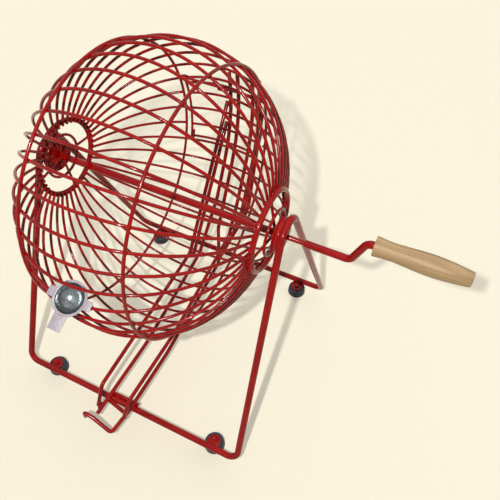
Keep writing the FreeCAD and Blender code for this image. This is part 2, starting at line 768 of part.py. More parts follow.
# ---------------------------------------------------------------- cage: hubs
hub_ring_x = mm("hub_ring_x")
spoke_outer = mm("hub_ring_radius") - mm("hub_ring_rod") / 2 + mm("weld_sink")
spoke_inner = mm("shaft_tube") / 2 - mm("weld_sink")
inner_share = (spoke_outer - mm("hub_inner_radius")) / (spoke_outer - spoke_inner)
inner_ring_x = (hub_ring_x + mm("spoke_dish") * inner_share + mm("spoke_wire") / 2
                + mm("hub_inner_wire") / 2 - mm("weld_sink"))
for side, name in [(-1, "left"), (1, "right")]:
    ring("hub_ring_" + name, side * hub_ring_x, mm("hub_ring_radius"), rib_count,
         "sizes.hub_ring_rod / 2")
    ring("hub_inner_ring_" + name, side * inner_ring_x, mm("hub_inner_radius"), rib_count // 2,
         "sizes.hub_inner_wire / 2")
    spokes = []
    spoke_step = 360.0 / mm("spoke_count")
    for i in range(int(mm("spoke_count"))):
        outer = around(side * hub_ring_x, spoke_outer, i * spoke_step)
        inner = around(side * mm("spoke_root"), spoke_inner, i * spoke_step)
        spokes.append(sweep(f"spoke_{name}_{i}", [outer, inner], "sizes.spoke_wire / 2", WIRE_SIDES))
    group("hub_spokes_" + name, spokes)


# ---------------------------------------------------------------- ball cup
tilt = mm("cup_tilt")
sheet_top = mm("rib_wire") / 2 + mm("running_gap") * 2 + mm("cup_sheet")
bowl = mm("cup_bowl") / 2
deep = mm("cup_depth")
sheet_thickness = mm("cup_sheet")
flange = mm("cup_flange") / 2
sphere = (bowl ** 2 + deep ** 2) / (2 * deep)
centre = sheet_top - deep + sphere
widest = math.asin(bowl / sphere)
inner_dish = [(sphere * math.sin(a), centre - sphere * math.cos(a)) for a in between(widest, 0.0, 4)]
outer_sphere = sphere + sheet_thickness
underside = sheet_top - sheet_thickness
outer_widest = math.acos((centre - underside) / outer_sphere)
outer_dish = [(outer_sphere * math.sin(a), centre - outer_sphere * math.cos(a))
              for a in between(0.0, outer_widest, 4)]
dish_outline = outer_dish + [(flange, underside), (flange, sheet_top)] + inner_dish
dish = turned("cup_dish", dish_outline, TURNED_SIDES)

barrel_radius = sheet_top
plates = []
for side, name in [(-1, "left"), (1, "right")]:
    inner_x = flange - mm("plate_overlap")
    low_x = inner_x if side > 0 else -ear_end
    plates.append(primitive("Box", "cup_ear_" + name,
                            Vec(low_x, -mm("cup_ear_width") / 2, sheet_top - sheet_thickness),
                            FreeCAD.Rotation(), Width="sizes.cup_ear_width", Height="sizes.cup_sheet"))
    plates[-1].Length = ear_end - inner_x
    barrel_start = pivot_start + mm("barrel_gap")
    barrel = primitive("Prism", "cup_barrel_" + name,
                       Vec(barrel_start if side > 0 else -ear_end, 0, 0), ALONG_X)
    barrel.Polygon = STAND_SIDES
    barrel.Circumradius = barrel_radius
    barrel.Height = ear_end - barrel_start
    plates.append(barrel)
tab = primitive("Box", "cup_tab", Vec(-mm("cup_tab_width") / 2, -mm("cup_tab_reach"),
                                      sheet_top - sheet_thickness), FreeCAD.Rotation(),
                Length="sizes.cup_tab_width", Height="sizes.cup_sheet")
tab.Width = mm("cup_tab_reach") - flange + mm("plate_overlap")
plates.append(tab)
cup_whole = doc.addObject("Part::MultiFuse", "cup_whole")
cup_whole.Shapes = [dish] + plates
bores = []
for side, name in [(-1, "left"), (1, "right")]:
    cut = primitive("Cylinder", "cup_bore_" + name,
                    Vec(flange if side > 0 else -ear_end - CUTTER_OVERRUN, 0, 0), ALONG_X,
                    Radius=f"sizes.rib_wire / 2 * {fill(WIRE_SIDES):.6f} + sizes.running_gap * 2")
    cut.Height = mm("cup_ear_length") + CUTTER_OVERRUN
    bores.append(cut)
both_bores = combine("Fuse", "cup_bores", bores[0], bores[1])
cup = combine("Cut", "ball_cup", cup_whole, both_bores)
pivot = around(0, pivot_radius, 0)
cup.Placement = FreeCAD.Placement(pivot, FreeCAD.Rotation(X_AXIS, 90 - tilt))
keep(cup, "ball_cup")


# ---------------------------------------------------------------- filling door
def height_on(corners, x):
    """How far from the shaft a rib's straight runs lie at this distance from the middle."""
    for first, last in zip(corners, corners[1:]):
        if first.x <= x <= last.x:
            return first.z + (last.z - first.z) * (x - first.x) / (last.x - first.x)


door_turn = bow_turn_at(mm("door_half_width") + mm("rib_wire") / 2)
slat_turns = between(-door_turn, door_turn, 4)
slat_reach = mm("rib_wire") - mm("weld_sink")
frame_radius = (height_on(bow_path(full_turns), mm("door_half_width"))
                - mm("rib_wire") - mm("door_clearance"))
slat_drop = height_on(bow_path(slat_turns), mm("door_half_width")) - frame_radius - slat_reach
hinge_angle = door_angle - mm("door_hinge_angle")
hinge_centre = around(0, mm("hinge_radius"), hinge_angle)
hinge = primitive("Cylinder", "door_hinge_wire", hinge_centre - X_AXIS * mm("hinge_half"), ALONG_X,
                  Radius="sizes.hinge_wire / 2", Height="2 * sizes.hinge_half")
keep(hinge, "door_hinge_wire")

slat_path = bow_path(slat_turns, -slat_drop)
slat = sweep("door_wire_pattern", slat_path, RIB, WIRE_SIDES)
doc.recompute()
slat_angles = [door_angle - mm("door_top_angle")]
slat_angles += [i * pitch for i in sorted(door_ribs)]
slat_angles += [door_angle + mm("door_bottom_angle")]
slats = [placed(slat.Shape, angle) for angle in slat_angles]
keep(solid_feature("door_wires", Part.makeCompound(slats)), "door_wires")

coil_turn = math.degrees((mm("coil_outside") / 2 - mm("weld_sink")) / frame_radius)
side_low = door_angle + mm("door_bottom_angle") + mm("side_overrun_angle")
side_high = hinge_angle + coil_turn
for side, name in [(-1, "left"), (1, "right")]:
    points = [around(side * mm("door_half_width"), frame_radius, a)
              for a in between(side_high, side_low, 8)]
    keep(sweep("door_side_" + name, points, RIB, WIRE_SIDES), "door_side_" + name)


def coil(name, x, outside, long):
    """A close-wound coil on the hinge wire, drawn as its sleeve."""
    start = Vec(x - mm(long) / 2, hinge_centre.y, hinge_centre.z)
    sleeve = primitive("Prism", name + "_sleeve", start, ALONG_X,
                       Circumradius=f"sizes.{outside} / 2", Height=f"sizes.{long}")
    sleeve.Polygon = STAND_SIDES
    hole = primitive("Cylinder", name + "_hole", start - X_AXIS * CUTTER_OVERRUN, ALONG_X,
                     Radius="sizes.hinge_wire / 2 + sizes.running_gap",
                     Height=f"sizes.{long} + {2 * CUTTER_OVERRUN}")
    return combine("Cut", name, sleeve, hole)


group("door_hinge_coils", [
    coil("hinge_coil_left", -mm("door_half_width"), "coil_outside", "coil_length"),
    coil("hinge_coil_right", mm("door_half_width"), "coil_outside", "coil_length"),
])
spring_coil = coil("spring_coil", mm("spring_offset"), "spring_outside", "spring_length")
leg_top = around(mm("spring_offset"), frame_radius, hinge_angle + mm("leg_start_angle"))
leg_reach = (mm("rib_wire") + mm("hinge_wire")) / 2 - mm("weld_sink")
leg_end = around(mm("spring_offset"), height_on(slat_path, mm("spring_offset")) - leg_reach,
                 slat_angles[0] + mm("leg_overlap_angle"))
spring_leg = sweep("spring_leg", [leg_top, leg_end], "sizes.hinge_wire / 2", WIRE_SIDES)
spring_whole = combine("Fuse", "spring_whole", spring_coil, spring_leg)
keep(spring_whole, "door_spring")

latch_x = -mm("door_half_width") + mm("rib_wire") - mm("weld_sink")
latch_start = door_angle + mm("door_bottom_angle") - mm("latch_start_angle")
latch_span = math.degrees(mm("latch_length") / frame_radius)
latch_top = around(latch_x, frame_radius, latch_start)
latch_low = around(latch_x, frame_radius - mm("latch_lean"), latch_start + latch_span)
keep(sweep("door_latch", [latch_top, latch_low], RIB, WIRE_SIDES), "door_latch")


# ---------------------------------------------------------------- checks, place and files
doc.recompute()
for thing in doc.Objects:
    if "Invalid" in thing.State or "Error" in thing.State:
        raise RuntimeError(f"{thing.Label} failed: {thing.State}")
for thing in nodes:
    if thing.Shape.isNull() or not thing.Shape.isValid():
        raise RuntimeError(f"{thing.Label} has no valid shape")

boxes = [thing.Shape.optimalBoundingBox(False, False) for thing in nodes]
middle_x = (min(b.XMin for b in boxes) + max(b.XMax for b in boxes)) / 2
middle_y = (min(b.YMin for b in boxes) + max(b.YMax for b in boxes)) / 2
to_origin = FreeCAD.Placement(Vec(-middle_x, -middle_y, 0), FreeCAD.Rotation())
for thing in nodes:
    thing.Placement = to_origin * thing.Placement
doc.recompute()

os.makedirs("parts", exist_ok=True)
for thing in nodes:
    thing.Shape.exportStep(f"parts/{thing.Label}.step")
print(f"{len(nodes)} sub-parts, origin {middle_x:.3f} {middle_y:.3f} in the modelling axes")
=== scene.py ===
import math

import bpy
from mathutils import Matrix, Vector


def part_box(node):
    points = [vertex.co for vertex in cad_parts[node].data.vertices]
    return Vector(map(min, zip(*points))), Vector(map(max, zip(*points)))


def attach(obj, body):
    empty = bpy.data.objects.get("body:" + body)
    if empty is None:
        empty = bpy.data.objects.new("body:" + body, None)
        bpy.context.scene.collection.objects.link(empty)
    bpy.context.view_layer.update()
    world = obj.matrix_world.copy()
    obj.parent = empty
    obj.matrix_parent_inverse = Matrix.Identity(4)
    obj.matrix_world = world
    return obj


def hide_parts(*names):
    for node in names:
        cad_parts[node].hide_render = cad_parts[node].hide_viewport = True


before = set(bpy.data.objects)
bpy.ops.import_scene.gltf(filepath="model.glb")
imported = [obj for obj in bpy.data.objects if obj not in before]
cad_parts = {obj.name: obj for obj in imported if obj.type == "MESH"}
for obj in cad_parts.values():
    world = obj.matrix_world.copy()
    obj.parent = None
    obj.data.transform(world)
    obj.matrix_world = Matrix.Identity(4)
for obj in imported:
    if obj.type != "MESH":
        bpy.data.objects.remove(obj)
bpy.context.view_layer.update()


# ---------------------------------------------------------------- end frames
# The two ends of the stand. Each is one 8 mm steel rod: half of both floor bars and a pair of
# legs, bent tight over the shaft, and butt-welded to the other at mid-bar. The whole stand is
# powder-coated red after welding.
shaft_low, shaft_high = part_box("shaft_rod")
middle_x = (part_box("hoop_left")[0].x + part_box("hoop_right")[1].x) / 2
axle_y = (shaft_low.y + shaft_high.y) / 2
axle_z = (shaft_low.z + shaft_high.z) / 2
axle_height = axle_z * 1000
east, north, up = Vector((1, 0, 0)), Vector((0, 1, 0)), Vector((0, 0, 1))
ENDS = [(-1, "left"), (1, "right")]


def spot(x, y, z):
    """A place in millimetres: x from mid-cage to the crank, y behind the shaft, z off the floor."""
    return Vector((middle_x + x / 1000, axle_y + y / 1000, z / 1000))


def new_material(name):
    """A new material, its shader and the place on the piece that its textures follow."""
    material = bpy.data.materials.new(name)
    material.use_nodes = True
    place = material.node_tree.nodes.new("ShaderNodeTexCoord")
    return material, material.node_tree.nodes["Principled BSDF"], place.outputs["Object"]


def add_noise(owner, place, scale, detail=2.0, distortion=0.0):
    """Soft random patches over the piece."""
    noise = owner.node_tree.nodes.new("ShaderNodeTexNoise")
    noise.inputs["Scale"].default_value = scale
    noise.inputs["Detail"].default_value = detail
    noise.inputs["Distortion"].default_value = distortion
    owner.node_tree.links.new(place, noise.inputs["Vector"])
    return noise.outputs["Fac"]


def add_tones(owner, value, low, dark, high, light):
    """A colour that runs from dark to light while the value runs from low to high."""
    tones = owner.node_tree.nodes.new("ShaderNodeValToRGB")
    for stop, position, colour in zip(tones.color_ramp.elements, (low, high), (dark, light)):
        stop.position = position
        stop.color = colour
    owner.node_tree.links.new(value, tones.inputs["Fac"])
    return tones.outputs["Color"]


def add_range(owner, value, low, high, start=0.0, end=1.0):
    """A number that runs from low to high while the value runs from start to end."""
    spread = owner.node_tree.nodes.new("ShaderNodeMapRange")
    spread.inputs["From Min"].default_value = start
    spread.inputs["From Max"].default_value = end
    spread.inputs["To Min"].default_value = low
    spread.inputs["To Max"].default_value = high
    owner.node_tree.links.new(value, spread.inputs["Value"])
    return spread.outputs["Result"]


def set_surface(material, colour, roughness, relief, strength, depth):
    """Gives the shader its colour, its roughness and a fine relief of this depth in millimetres."""
    nodes, links = material.node_tree.nodes, material.node_tree.links
    shader = nodes["Principled BSDF"]
    links.new(colour, shader.inputs["Base Color"])
    links.new(roughness, shader.inputs["Roughness"])
    bump = nodes.new("ShaderNodeBump")
    bump.inputs["Strength"].default_value = strength
    bump.inputs["Distance"].default_value = depth / 1000
    links.new(relief, bump.inputs["Height"])
    links.new(bump.outputs["Normal"], shader.inputs["Normal"])


def powder_coat():
    """Deep red gloss powder coat: slight orange peel, a little unevenness in colour and gloss."""
    paint, shader, place = new_material("red_powder_coat")
    shader.inputs["Specular IOR Level"].default_value = 0.18
    drift = add_noise(paint, place, 34.0, 5.0)
    deep, bright = (0.225, 0.0014, 0.0022, 1), (0.325, 0.0046, 0.0022, 1)
    reds = add_tones(paint, drift, 0.34, deep, 0.66, bright)
    haze = add_noise(paint, place, 160.0, 3.0)
    gloss = add_range(paint, haze, 0.11, 0.18, start=0.3, end=0.7)
    peel = add_noise(paint, place, 700.0)
    set_surface(paint, reds, gloss, peel, 0.06, 0.2)
    return paint


red = powder_coat()


def bent_route(corners, bends):
    """Places and headings along a rod that runs through the corners with these bend radii."""
    route = [(corners[0], (corners[1] - corners[0]).normalized())]
    for before, corner, after, radius in zip(corners, corners[1:], corners[2:], bends):
        back = (before - corner).normalized()
        ahead = (after - corner).normalized()
        setback = radius / 1000 / math.tan(back.angle(ahead) / 2)
        route.append((corner + back * setback, -back))
        route.append((corner + ahead * setback, ahead))
    route.append((corners[-1], (corners[-1] - corners[-2]).normalized()))
    return route


def open_piece(name, scale=(1, 1, 1)):
    """Takes up the piece just added: names, scales and settles it, and opens it, all selected."""
    piece = bpy.context.object
    piece.name = name
    piece.scale = scale
    bpy.ops.object.transform_apply(location=True, rotation=True, scale=True)
    bpy.ops.object.mode_set(mode="EDIT")
    bpy.ops.mesh.select_all(action="SELECT")
    return piece


def push(step):
    """Pushes what is selected along by this step, which leaves new sides behind it."""
    bpy.ops.mesh.extrude_region_move(TRANSFORM_OT_translate={"value": step})


def round_edges(piece, width, sharper_than=30):
    """Rounds the edges that turn by more than this angle, over a width in millimetres."""
    edges = piece.modifiers.new("edges", "BEVEL")
    edges.width = width / 1000
    edges.segments = 2
    edges.angle_limit = math.radians(sharper_than)
    bpy.ops.object.modifier_apply(modifier=edges.name)


STRAIGHT, BEND_STEP, END_ANGLE = 0.0001, 8, 60


def draw_wire(name, route, thick, sides, cut=0.3):
    """A wire made by hand: its section is pushed along each straight and spun round each bend."""
    place, heading = route[0]
    bpy.ops.mesh.primitive_circle_add(
        vertices=sides, radius=thick / 2000, fill_type="NGON", location=place,
        rotation=heading.to_track_quat("Z", "Y").to_euler())
    wire = open_piece(name)
    for (here, along), (there, ahead) in zip(route, route[1:]):
        turn = along.angle(ahead)
        chord = there - here
        if turn < STRAIGHT:
            push(chord)
            continue
        axis = along.cross(ahead).normalized()
        centre = (here + there) / 2 + axis.cross(chord) / (2 * math.tan(turn / 2))
        steps = max(1, math.ceil(math.degrees(turn) / BEND_STEP))
        bpy.ops.mesh.spin(steps=steps, angle=turn, center=centre, axis=-axis)
    bpy.ops.object.mode_set(mode="OBJECT")
    if cut:
        round_edges(wire, cut, END_ANGLE)
    return wire


LUMPINESS, SEED_SCALE = 0.12, 9999


def weld_bead(place, across, along=1.0, heading=east):
    """A molten bead of weld: a small ball, drawn out along the joint and left a little lumpy."""
    bpy.ops.mesh.primitive_ico_sphere_add(subdivisions=2, radius=across / 2000, location=place)
    bead = open_piece("bead", [1 + part * (along - 1) for part in heading])
    seed = int(abs(place.x + place.z) * SEED_SCALE)
    bpy.ops.transform.vertex_random(offset=across / 2000 * LUMPINESS, uniform=0, normal=1,
                                    seed=seed)
    bpy.ops.object.mode_set(mode="OBJECT")
    return bead


SMOOTH_ANGLE = 38


def finish_piece(piece, paint, body, slot, *nodes):
    """Gives a piece its finish, its body and the solids that it stands for."""
    bpy.ops.object.select_all(action="DESELECT")
    piece.select_set(True)
    bpy.context.view_layer.objects.active = piece
    bpy.ops.object.mode_set(mode="EDIT")
    bpy.ops.mesh.select_all(action="SELECT")
    bpy.ops.mesh.normals_make_consistent(inside=False)
    bpy.ops.object.mode_set(mode="OBJECT")
    bpy.ops.object.shade_smooth_by_angle(angle=math.radians(SMOOTH_ANGLE))
    piece.data.materials.clear()
    piece.data.materials.append(paint)
    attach(piece, body)
    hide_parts(*nodes)


def join_pieces(name, parts):
    """Parts made into one piece."""
    bpy.ops.object.select_all(action="DESELECT")
    for part in parts:
        part.select_set(True)
    bpy.context.view_layer.objects.active = parts[0]
    bpy.ops.object.join()
    parts[0].name = name
    return parts[0]


def coated_piece(name, parts, body, node):
    """Parts joined into one piece and coated red; it stands for one solid."""
    finish_piece(join_pieces(name, parts), red, body, "red_coating", node)


CORNER_DEPTH, BAR_HEIGHT, STAND_ROD = 143.9, 16.4, 8.0
LEG_SPLAY, APEX_RADIUS, CORNER_RADIUS = 10.4, 20.5, 13.0
BUTT_WELD, BUTT_SQUASH = 8.5, 0.45
leg_rise = axle_height - BAR_HEIGHT
leg_slant = (math.atan2(leg_rise, CORNER_DEPTH)
             + math.asin(APEX_RADIUS / math.hypot(leg_rise, CORNER_DEPTH)))
leg_peak = CORNER_DEPTH * math.tan(leg_slant)
leg_lean = LEG_SPLAY / (leg_rise + APEX_RADIUS)
for side, end in ENDS:
    frame_low, frame_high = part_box(end + "_end_frame")
    outside = frame_high.x if side > 0 else frame_low.x
    corner_reach = (outside - middle_x) * 1000 - side * STAND_ROD / 2
    frame_route = bent_route([
        spot(0, -CORNER_DEPTH, BAR_HEIGHT),
        spot(corner_reach, -CORNER_DEPTH, BAR_HEIGHT),
        spot(corner_reach - side * leg_lean * leg_peak, 0, BAR_HEIGHT + leg_peak),
        spot(corner_reach, CORNER_DEPTH, BAR_HEIGHT),
        spot(0, CORNER_DEPTH, BAR_HEIGHT),
    ], [CORNER_RADIUS, APEX_RADIUS, CORNER_RADIUS])
    frame_parts = [draw_wire("rod", frame_route, STAND_ROD, sides=20, cut=0.1)]
    if side < 0:
        frame_parts += [weld_bead(spot(0, depth, BAR_HEIGHT), BUTT_WELD, BUTT_SQUASH)
                        for depth in (-CORNER_DEPTH, CORNER_DEPTH)]
    coated_piece(end + "_end_frame_rod", frame_parts, "stand", end + "_end_frame")


# ---------------------------------------------------------------- bearing discs
# A turned steel disc inside each leg apex, welded to the bend and bored for the shaft. Its
# edges are rounded and it is coated with the stand.
def start_point(name, place):
    """A piece that starts as one point."""
    bpy.ops.mesh.primitive_plane_add(size=0.001, location=place)
    piece = open_piece(name)
    bpy.ops.mesh.merge(type="CENTER")
    return piece


def close_seam(gap=0.02):
    """Joins the points that lie closer together than this gap in millimetres."""
    bpy.ops.mesh.select_all(action="SELECT")
    bpy.ops.mesh.remove_doubles(threshold=gap / 1000)


def turn_piece(name, outline, start, heading, steps=56, closed=False):
    """A turned piece: its outline of (radius, length) in millimetres is spun about the heading."""
    piece = start_point(name, start)
    lift = heading.orthogonal().normalized()
    places = [start + lift * (r / 1000) + heading * (along / 1000) for r, along in outline]
    bpy.ops.transform.translate(value=places[0] - start)
    for here, there in zip(places, places[1:] + places[:1] * closed):
        push(there - here)
    bpy.ops.mesh.select_all(action="SELECT")
    bpy.ops.mesh.spin(steps=steps, angle=2 * math.pi, center=start, axis=heading)
    close_seam()
    bpy.ops.mesh.normals_make_consistent(inside=False)
    bpy.ops.object.mode_set(mode="OBJECT")
    return piece


def around(x, radius, angle):
    """A place at a radius from the shaft; the angle counts from the front over the top."""
    turn = math.radians(angle)
    return spot(x, -radius * math.cos(turn), axle_height + radius * math.sin(turn))


DISC_BORE, DISC_RADIUS, DISC_WELD, DISC_WELD_LONG = 2.8, 20, 3.4, 1.9
for side, end in ENDS:
    disc_low, disc_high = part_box("bearing_disc_" + end)
    disc_width = (disc_high.x - disc_low.x) * 1000
    disc_outline = [(DISC_BORE, 0), (3.1, 0), (12.4, 0), (12.7, 0.25), (13.3, 0.25), (13.6, 0),
                    (18.2, 0), (19.1, 0.25), (19.75, 0.9), (DISC_RADIUS, 1.8),
                    (DISC_RADIUS, disc_width - 1.8), (19.75, disc_width - 0.9),
                    (19.1, disc_width - 0.25), (18.2, disc_width), (3.1, disc_width),
                    (DISC_BORE, disc_width)]
    disc = turn_piece("disc", disc_outline, Vector((disc_low.x, axle_y, axle_z)), east, closed=True)
    face = ((disc_high.x if side > 0 else disc_low.x) - middle_x) * 1000
    beads = [weld_bead(around(face, DISC_RADIUS + 0.2, angle), DISC_WELD, DISC_WELD_LONG, up)
             for angle in (12, 90, 168)]
    coated_piece("bearing_disc_" + end + "_turned", [disc] + beads, "stand", "bearing_disc_" + end)


# ---------------------------------------------------------------- rubber feet
# Four moulded feet of near-black rubber. Each tapers a little upwards, has a rounded rim, a
# groove above its sole and a socket for its screw.
def foot_rubber():
    """Satin dark rubber with fine moulding grain and a dusty bloom."""
    rubber, shader, place = new_material("moulded_rubber")
    shader.inputs["Specular IOR Level"].default_value = 0.4
    bloom = add_noise(rubber, place, 180.0, 5.0)
    black, dusty = (0.010, 0.012, 0.022, 1), (0.024, 0.029, 0.048, 1)
    tones = add_tones(rubber, bloom, 0.35, black, 0.75, dusty)
    wear = add_range(rubber, bloom, 0.38, 0.62)
    grain = add_noise(rubber, place, 2400.0)
    set_surface(rubber, tones, wear, grain, 0.25, 0.2)
    return rubber


rubber = foot_rubber()
feet_low, feet_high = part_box("rubber_feet")
FOOT_BASE, FOOT_HEIGHT, FOOT_DEPTH, SOCKET = 26.0, 12.2, 134.0, 2.05
foot_x = (feet_low.x + FOOT_BASE / 2000, feet_high.x - FOOT_BASE / 2000)
foot_spots = [(Vector((x, axle_y + sy * FOOT_DEPTH / 1000, 0)), sy)
              for x in foot_x for sy in (-1, 1)]
foot_outline = [(0, 0), (11.6, 0), (12.5, 0.35), (12.95, 1.3), (12.95, 2.2), (12.35, 2.5),
                (12.35, 3.0), (12.8, 3.4), (12.1, 10.4), (11.8, 11.3), (11.0, 12.0),
                (9.8, FOOT_HEIGHT), (SOCKET, FOOT_HEIGHT), (SOCKET, 3.2), (0, 3.2)]
feet = [turn_piece("foot", foot_outline, under, up, steps=48) for under, _ in foot_spots]
finish_piece(join_pieces("rubber_feet_moulded", feet), rubber, "stand", "foot_rubber",
             "rubber_feet")


# ---------------------------------------------------------------- foot tabs
# A small steel tab beside the floor bar over each foot: round at its free end, drilled for the
# screw that fills its hole, welded to the bar and coated with it.
TAB_RADIUS, TAB_THICK, TAB_EDGE = 8.0, 2.0, 0.4
TAB_WELD, TAB_WELD_LONG, TAB_WELD_SINK = 2.2, 6.0, 0.6
tabs_low, tabs_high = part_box("foot_tabs")
tabs = []
for under, sy in foot_spots:
    centre = under + up * (FOOT_HEIGHT / 1000)
    bar_edge = tabs_high.y if sy > 0 else tabs_low.y
    tab = start_point("tab", centre)
    bpy.ops.transform.translate(value=(-TAB_RADIUS / 1000, 0, 0))
    bpy.ops.mesh.spin(steps=24, angle=math.pi, center=centre, axis=(0, 0, -sy))
    to_bar = Vector((0, bar_edge - centre.y, 0))
    for step in (to_bar, Vector((-TAB_RADIUS / 500, 0, 0)), -to_bar):
        push(step)
    close_seam(0.01)
    bpy.ops.mesh.select_all(action="SELECT")
    bpy.ops.mesh.edge_face_add()
    push((0, 0, TAB_THICK / 1000))
    bpy.ops.object.mode_set(mode="OBJECT")
    round_edges(tab, TAB_EDGE, END_ANGLE)
    seam = Vector((centre.x, bar_edge - sy * TAB_WELD_SINK / 1000, centre.z + TAB_THICK / 1000))
    tabs += [tab, weld_bead(seam, TAB_WELD, TAB_WELD_LONG)]
coated_piece("foot_tabs_plates", tabs, "stand", "foot_tabs")


# ---------------------------------------------------------------- foot screws
# Hexagon-headed screws through the tabs into the feet. They go in before coating, so their
# chamfered heads are as red as the stand.
SCREW_HEAD, SCREW_HEAD_HEIGHT, CROWN_INSET, CROWN_RISE, CROWN_EDGE = 7.0, 3.0, 0.9, 0.5, 0.35
head_corner = SCREW_HEAD / 2000 / math.cos(math.pi / 6)
shank_outline = [(0, -10.9), (1.6, -10.9), (1.95, -10.4), (1.95, 0.5), (0, 0.5)]
screws = []
for under, _ in foot_spots:
    seat = under + up * ((FOOT_HEIGHT + TAB_THICK) / 1000)
    screws.append(turn_piece("screw", shank_outline, seat, up, steps=24))
    bpy.ops.mesh.primitive_cylinder_add(
        vertices=6, radius=head_corner, depth=SCREW_HEAD_HEIGHT / 1000,
        location=seat + up * (SCREW_HEAD_HEIGHT / 2000))
    head = open_piece("head")
    bpy.ops.mesh.select_all(action="DESELECT")
    bpy.ops.object.mode_set(mode="OBJECT")
    for face in head.data.polygons:
        face.select = face.normal.z > 0.9
    bpy.ops.object.mode_set(mode="EDIT")
    bpy.ops.mesh.inset(thickness=CROWN_INSET / 1000)
    push((0, 0, -CROWN_RISE / 1000))
    bpy.ops.object.mode_set(mode="OBJECT")
    round_edges(head, CROWN_EDGE)
    screws.append(head)
coated_piece("foot_screws", screws, "stand", "foot_bolts")


# ---------------------------------------------------------------- chute wires
# The chute and its guard, of 5.2 mm wire. The two lower wires lie on the floor bar; all turn up
# behind the cage and follow it round. The lower right one crosses in front as the ball stop.
RAIL_WIRE, WELD_SINK, RAIL_SIDES = 5.2, 0.3, 16
GUARD_RADIUS, GUARD_TOP, GUARD_FOOT = 194.8, 10.0, 28.8
LEFT_RAIL, RIGHT_RAIL, LEFT_GUARD, SIDE_GUARD, POST_GUARD = -26.0, 8.5, -15.5, 15.0, 26.0
RAIL_BENDS, RAIL_WELD, BRACE_WELD, BRACE_WELD_SHIFT = [60, 14, 30], RAIL_WIRE * 1.15, 4.6, 2.4
TIE_ANGLE, TIE_WELD, TIE_WELD_LONG = 17, 4.0, 2.2
rail_seat = BAR_HEIGHT + STAND_ROD / 2 + RAIL_WIRE / 2 - WELD_SINK
weld_reach = RAIL_WIRE - WELD_SINK


def guard_point(x, behind):
    """A place below the guard's foot, on the line that runs into its curve."""
    foot = math.radians(GUARD_FOOT)
    return (around(x, GUARD_RADIUS, 180 + GUARD_FOOT)
            - Vector((0, math.sin(foot), math.cos(foot))) * (behind / 1000))


def guard_wire(name, corners, bends, x, beads):
    """A chute wire whose last stretch is rolled round the cage, with its welds."""
    top = math.radians(GUARD_TOP)
    route = bent_route(corners + [guard_point(x, 0)], bends)
    route.append((around(x, GUARD_RADIUS, 180 - GUARD_TOP),
                  Vector((0, -math.sin(top), math.cos(top)))))
    wire = draw_wire("wire", route, RAIL_WIRE, RAIL_SIDES)
    coated_piece(name + "_wire", [wire] + beads, "stand", name)


def straight_wire(name, start, end, thick, sides, cut=0.3):
    """A straight wire between two places."""
    return draw_wire(name, bent_route([start, end], []), thick, sides, cut)


def rail_weld(x, y, z, along=1.3, heading=north):
    """A bead in the valley between two chute wires."""
    return weld_bead(spot(x, y, z), RAIL_WELD, along, heading)


def brace_weld(place, along=1.6):
    """An upright bead where a chute wire or a brace meets another one."""
    return weld_bead(place, BRACE_WELD, along, up)


guard_wire("chute_rail_lower_left", [
    spot(LEFT_RAIL, -172, rail_seat), spot(LEFT_RAIL, -58, rail_seat), spot(LEFT_RAIL, 98, 51.5),
    guard_point(LEFT_GUARD, 55)], RAIL_BENDS, LEFT_GUARD,
    [rail_weld(LEFT_RAIL, -CORNER_DEPTH, rail_seat - 2.2, 1.5, east),
     rail_weld(LEFT_RAIL + 1.9, -149.5, rail_seat, 1.4),
     rail_weld(LEFT_RAIL + 0.6, -138.6, rail_seat - 1.9, 1.3, east)])

guard_wire("chute_rail_lower_right", [
    spot(-36, -182, 25), spot(-35, -182, 39), spot(-22, -182, 34), spot(5, -185, rail_seat),
    spot(RIGHT_RAIL, -150, rail_seat), spot(RIGHT_RAIL, -58, rail_seat), spot(RIGHT_RAIL, 98, 51.5),
    guard_point(-4, 100)], [4.5, 9, 4.5, 60] + RAIL_BENDS, -4,
    [rail_weld(RIGHT_RAIL, -CORNER_DEPTH, rail_seat - 2.2, 1.5, east),
     rail_weld(6.0, -155.5, rail_seat - 0.3, 1.5),
     rail_weld(RIGHT_RAIL - 0.4, -138.6, rail_seat - 1.9, 1.3, east)])

guard_left = LEFT_GUARD - weld_reach
side_weld = math.radians(35)
side_foot = spot(LEFT_RAIL - weld_reach * math.cos(side_weld), -163,
                 rail_seat + weld_reach * math.sin(side_weld))
upper_left = draw_wire("wire", bent_route([
    side_foot, spot(-30, -146, 53), spot(-30, 79.5, 71), around(guard_left, GUARD_RADIUS, 183)],
    [9, 14]), RAIL_WIRE, RAIL_SIDES)
upper_left_beads = [rail_weld(LEFT_RAIL - 2.1, -161.5, rail_seat + 1.5, 1.7),
                    rail_weld(-27.6, 81.5, 69.6, 1.4, up),
                    brace_weld(around(guard_left + RAIL_WIRE / 2, GUARD_RADIUS, 184.2))]
coated_piece("chute_rail_upper_left_wire", [upper_left] + upper_left_beads, "stand",
             "chute_rail_upper_left")

brace_left = straight_wire("wire", spot(-30 + weld_reach, 82.5, 69),
                           around(guard_left, GUARD_RADIUS, 192), RAIL_WIRE, RAIL_SIDES)
brace_left_bead = brace_weld(around(guard_left + RAIL_WIRE / 2, GUARD_RADIUS, 192.8))
coated_piece("chute_brace_left_wire", [brace_left, brace_left_bead], "stand", "chute_brace_left")

guard_wire("chute_rail_upper_right", [
    spot(RIGHT_RAIL + 0.3, -162, rail_seat + 2.8), spot(12, -146, 50), spot(12, -40, 50),
    guard_point(SIDE_GUARD, 105.8), guard_point(16.5, 60)], [9] + RAIL_BENDS, 16.5,
    [rail_weld(RIGHT_RAIL, -160.5, rail_seat + 2.0, 1.9)])

post_foot = guard_point(SIDE_GUARD + weld_reach, 92)
guard_wire("chute_post_right", [post_foot, guard_point(POST_GUARD, 70)], [20], POST_GUARD,
           [brace_weld(post_foot - east * (BRACE_WELD_SHIFT / 1000), 1.7)])

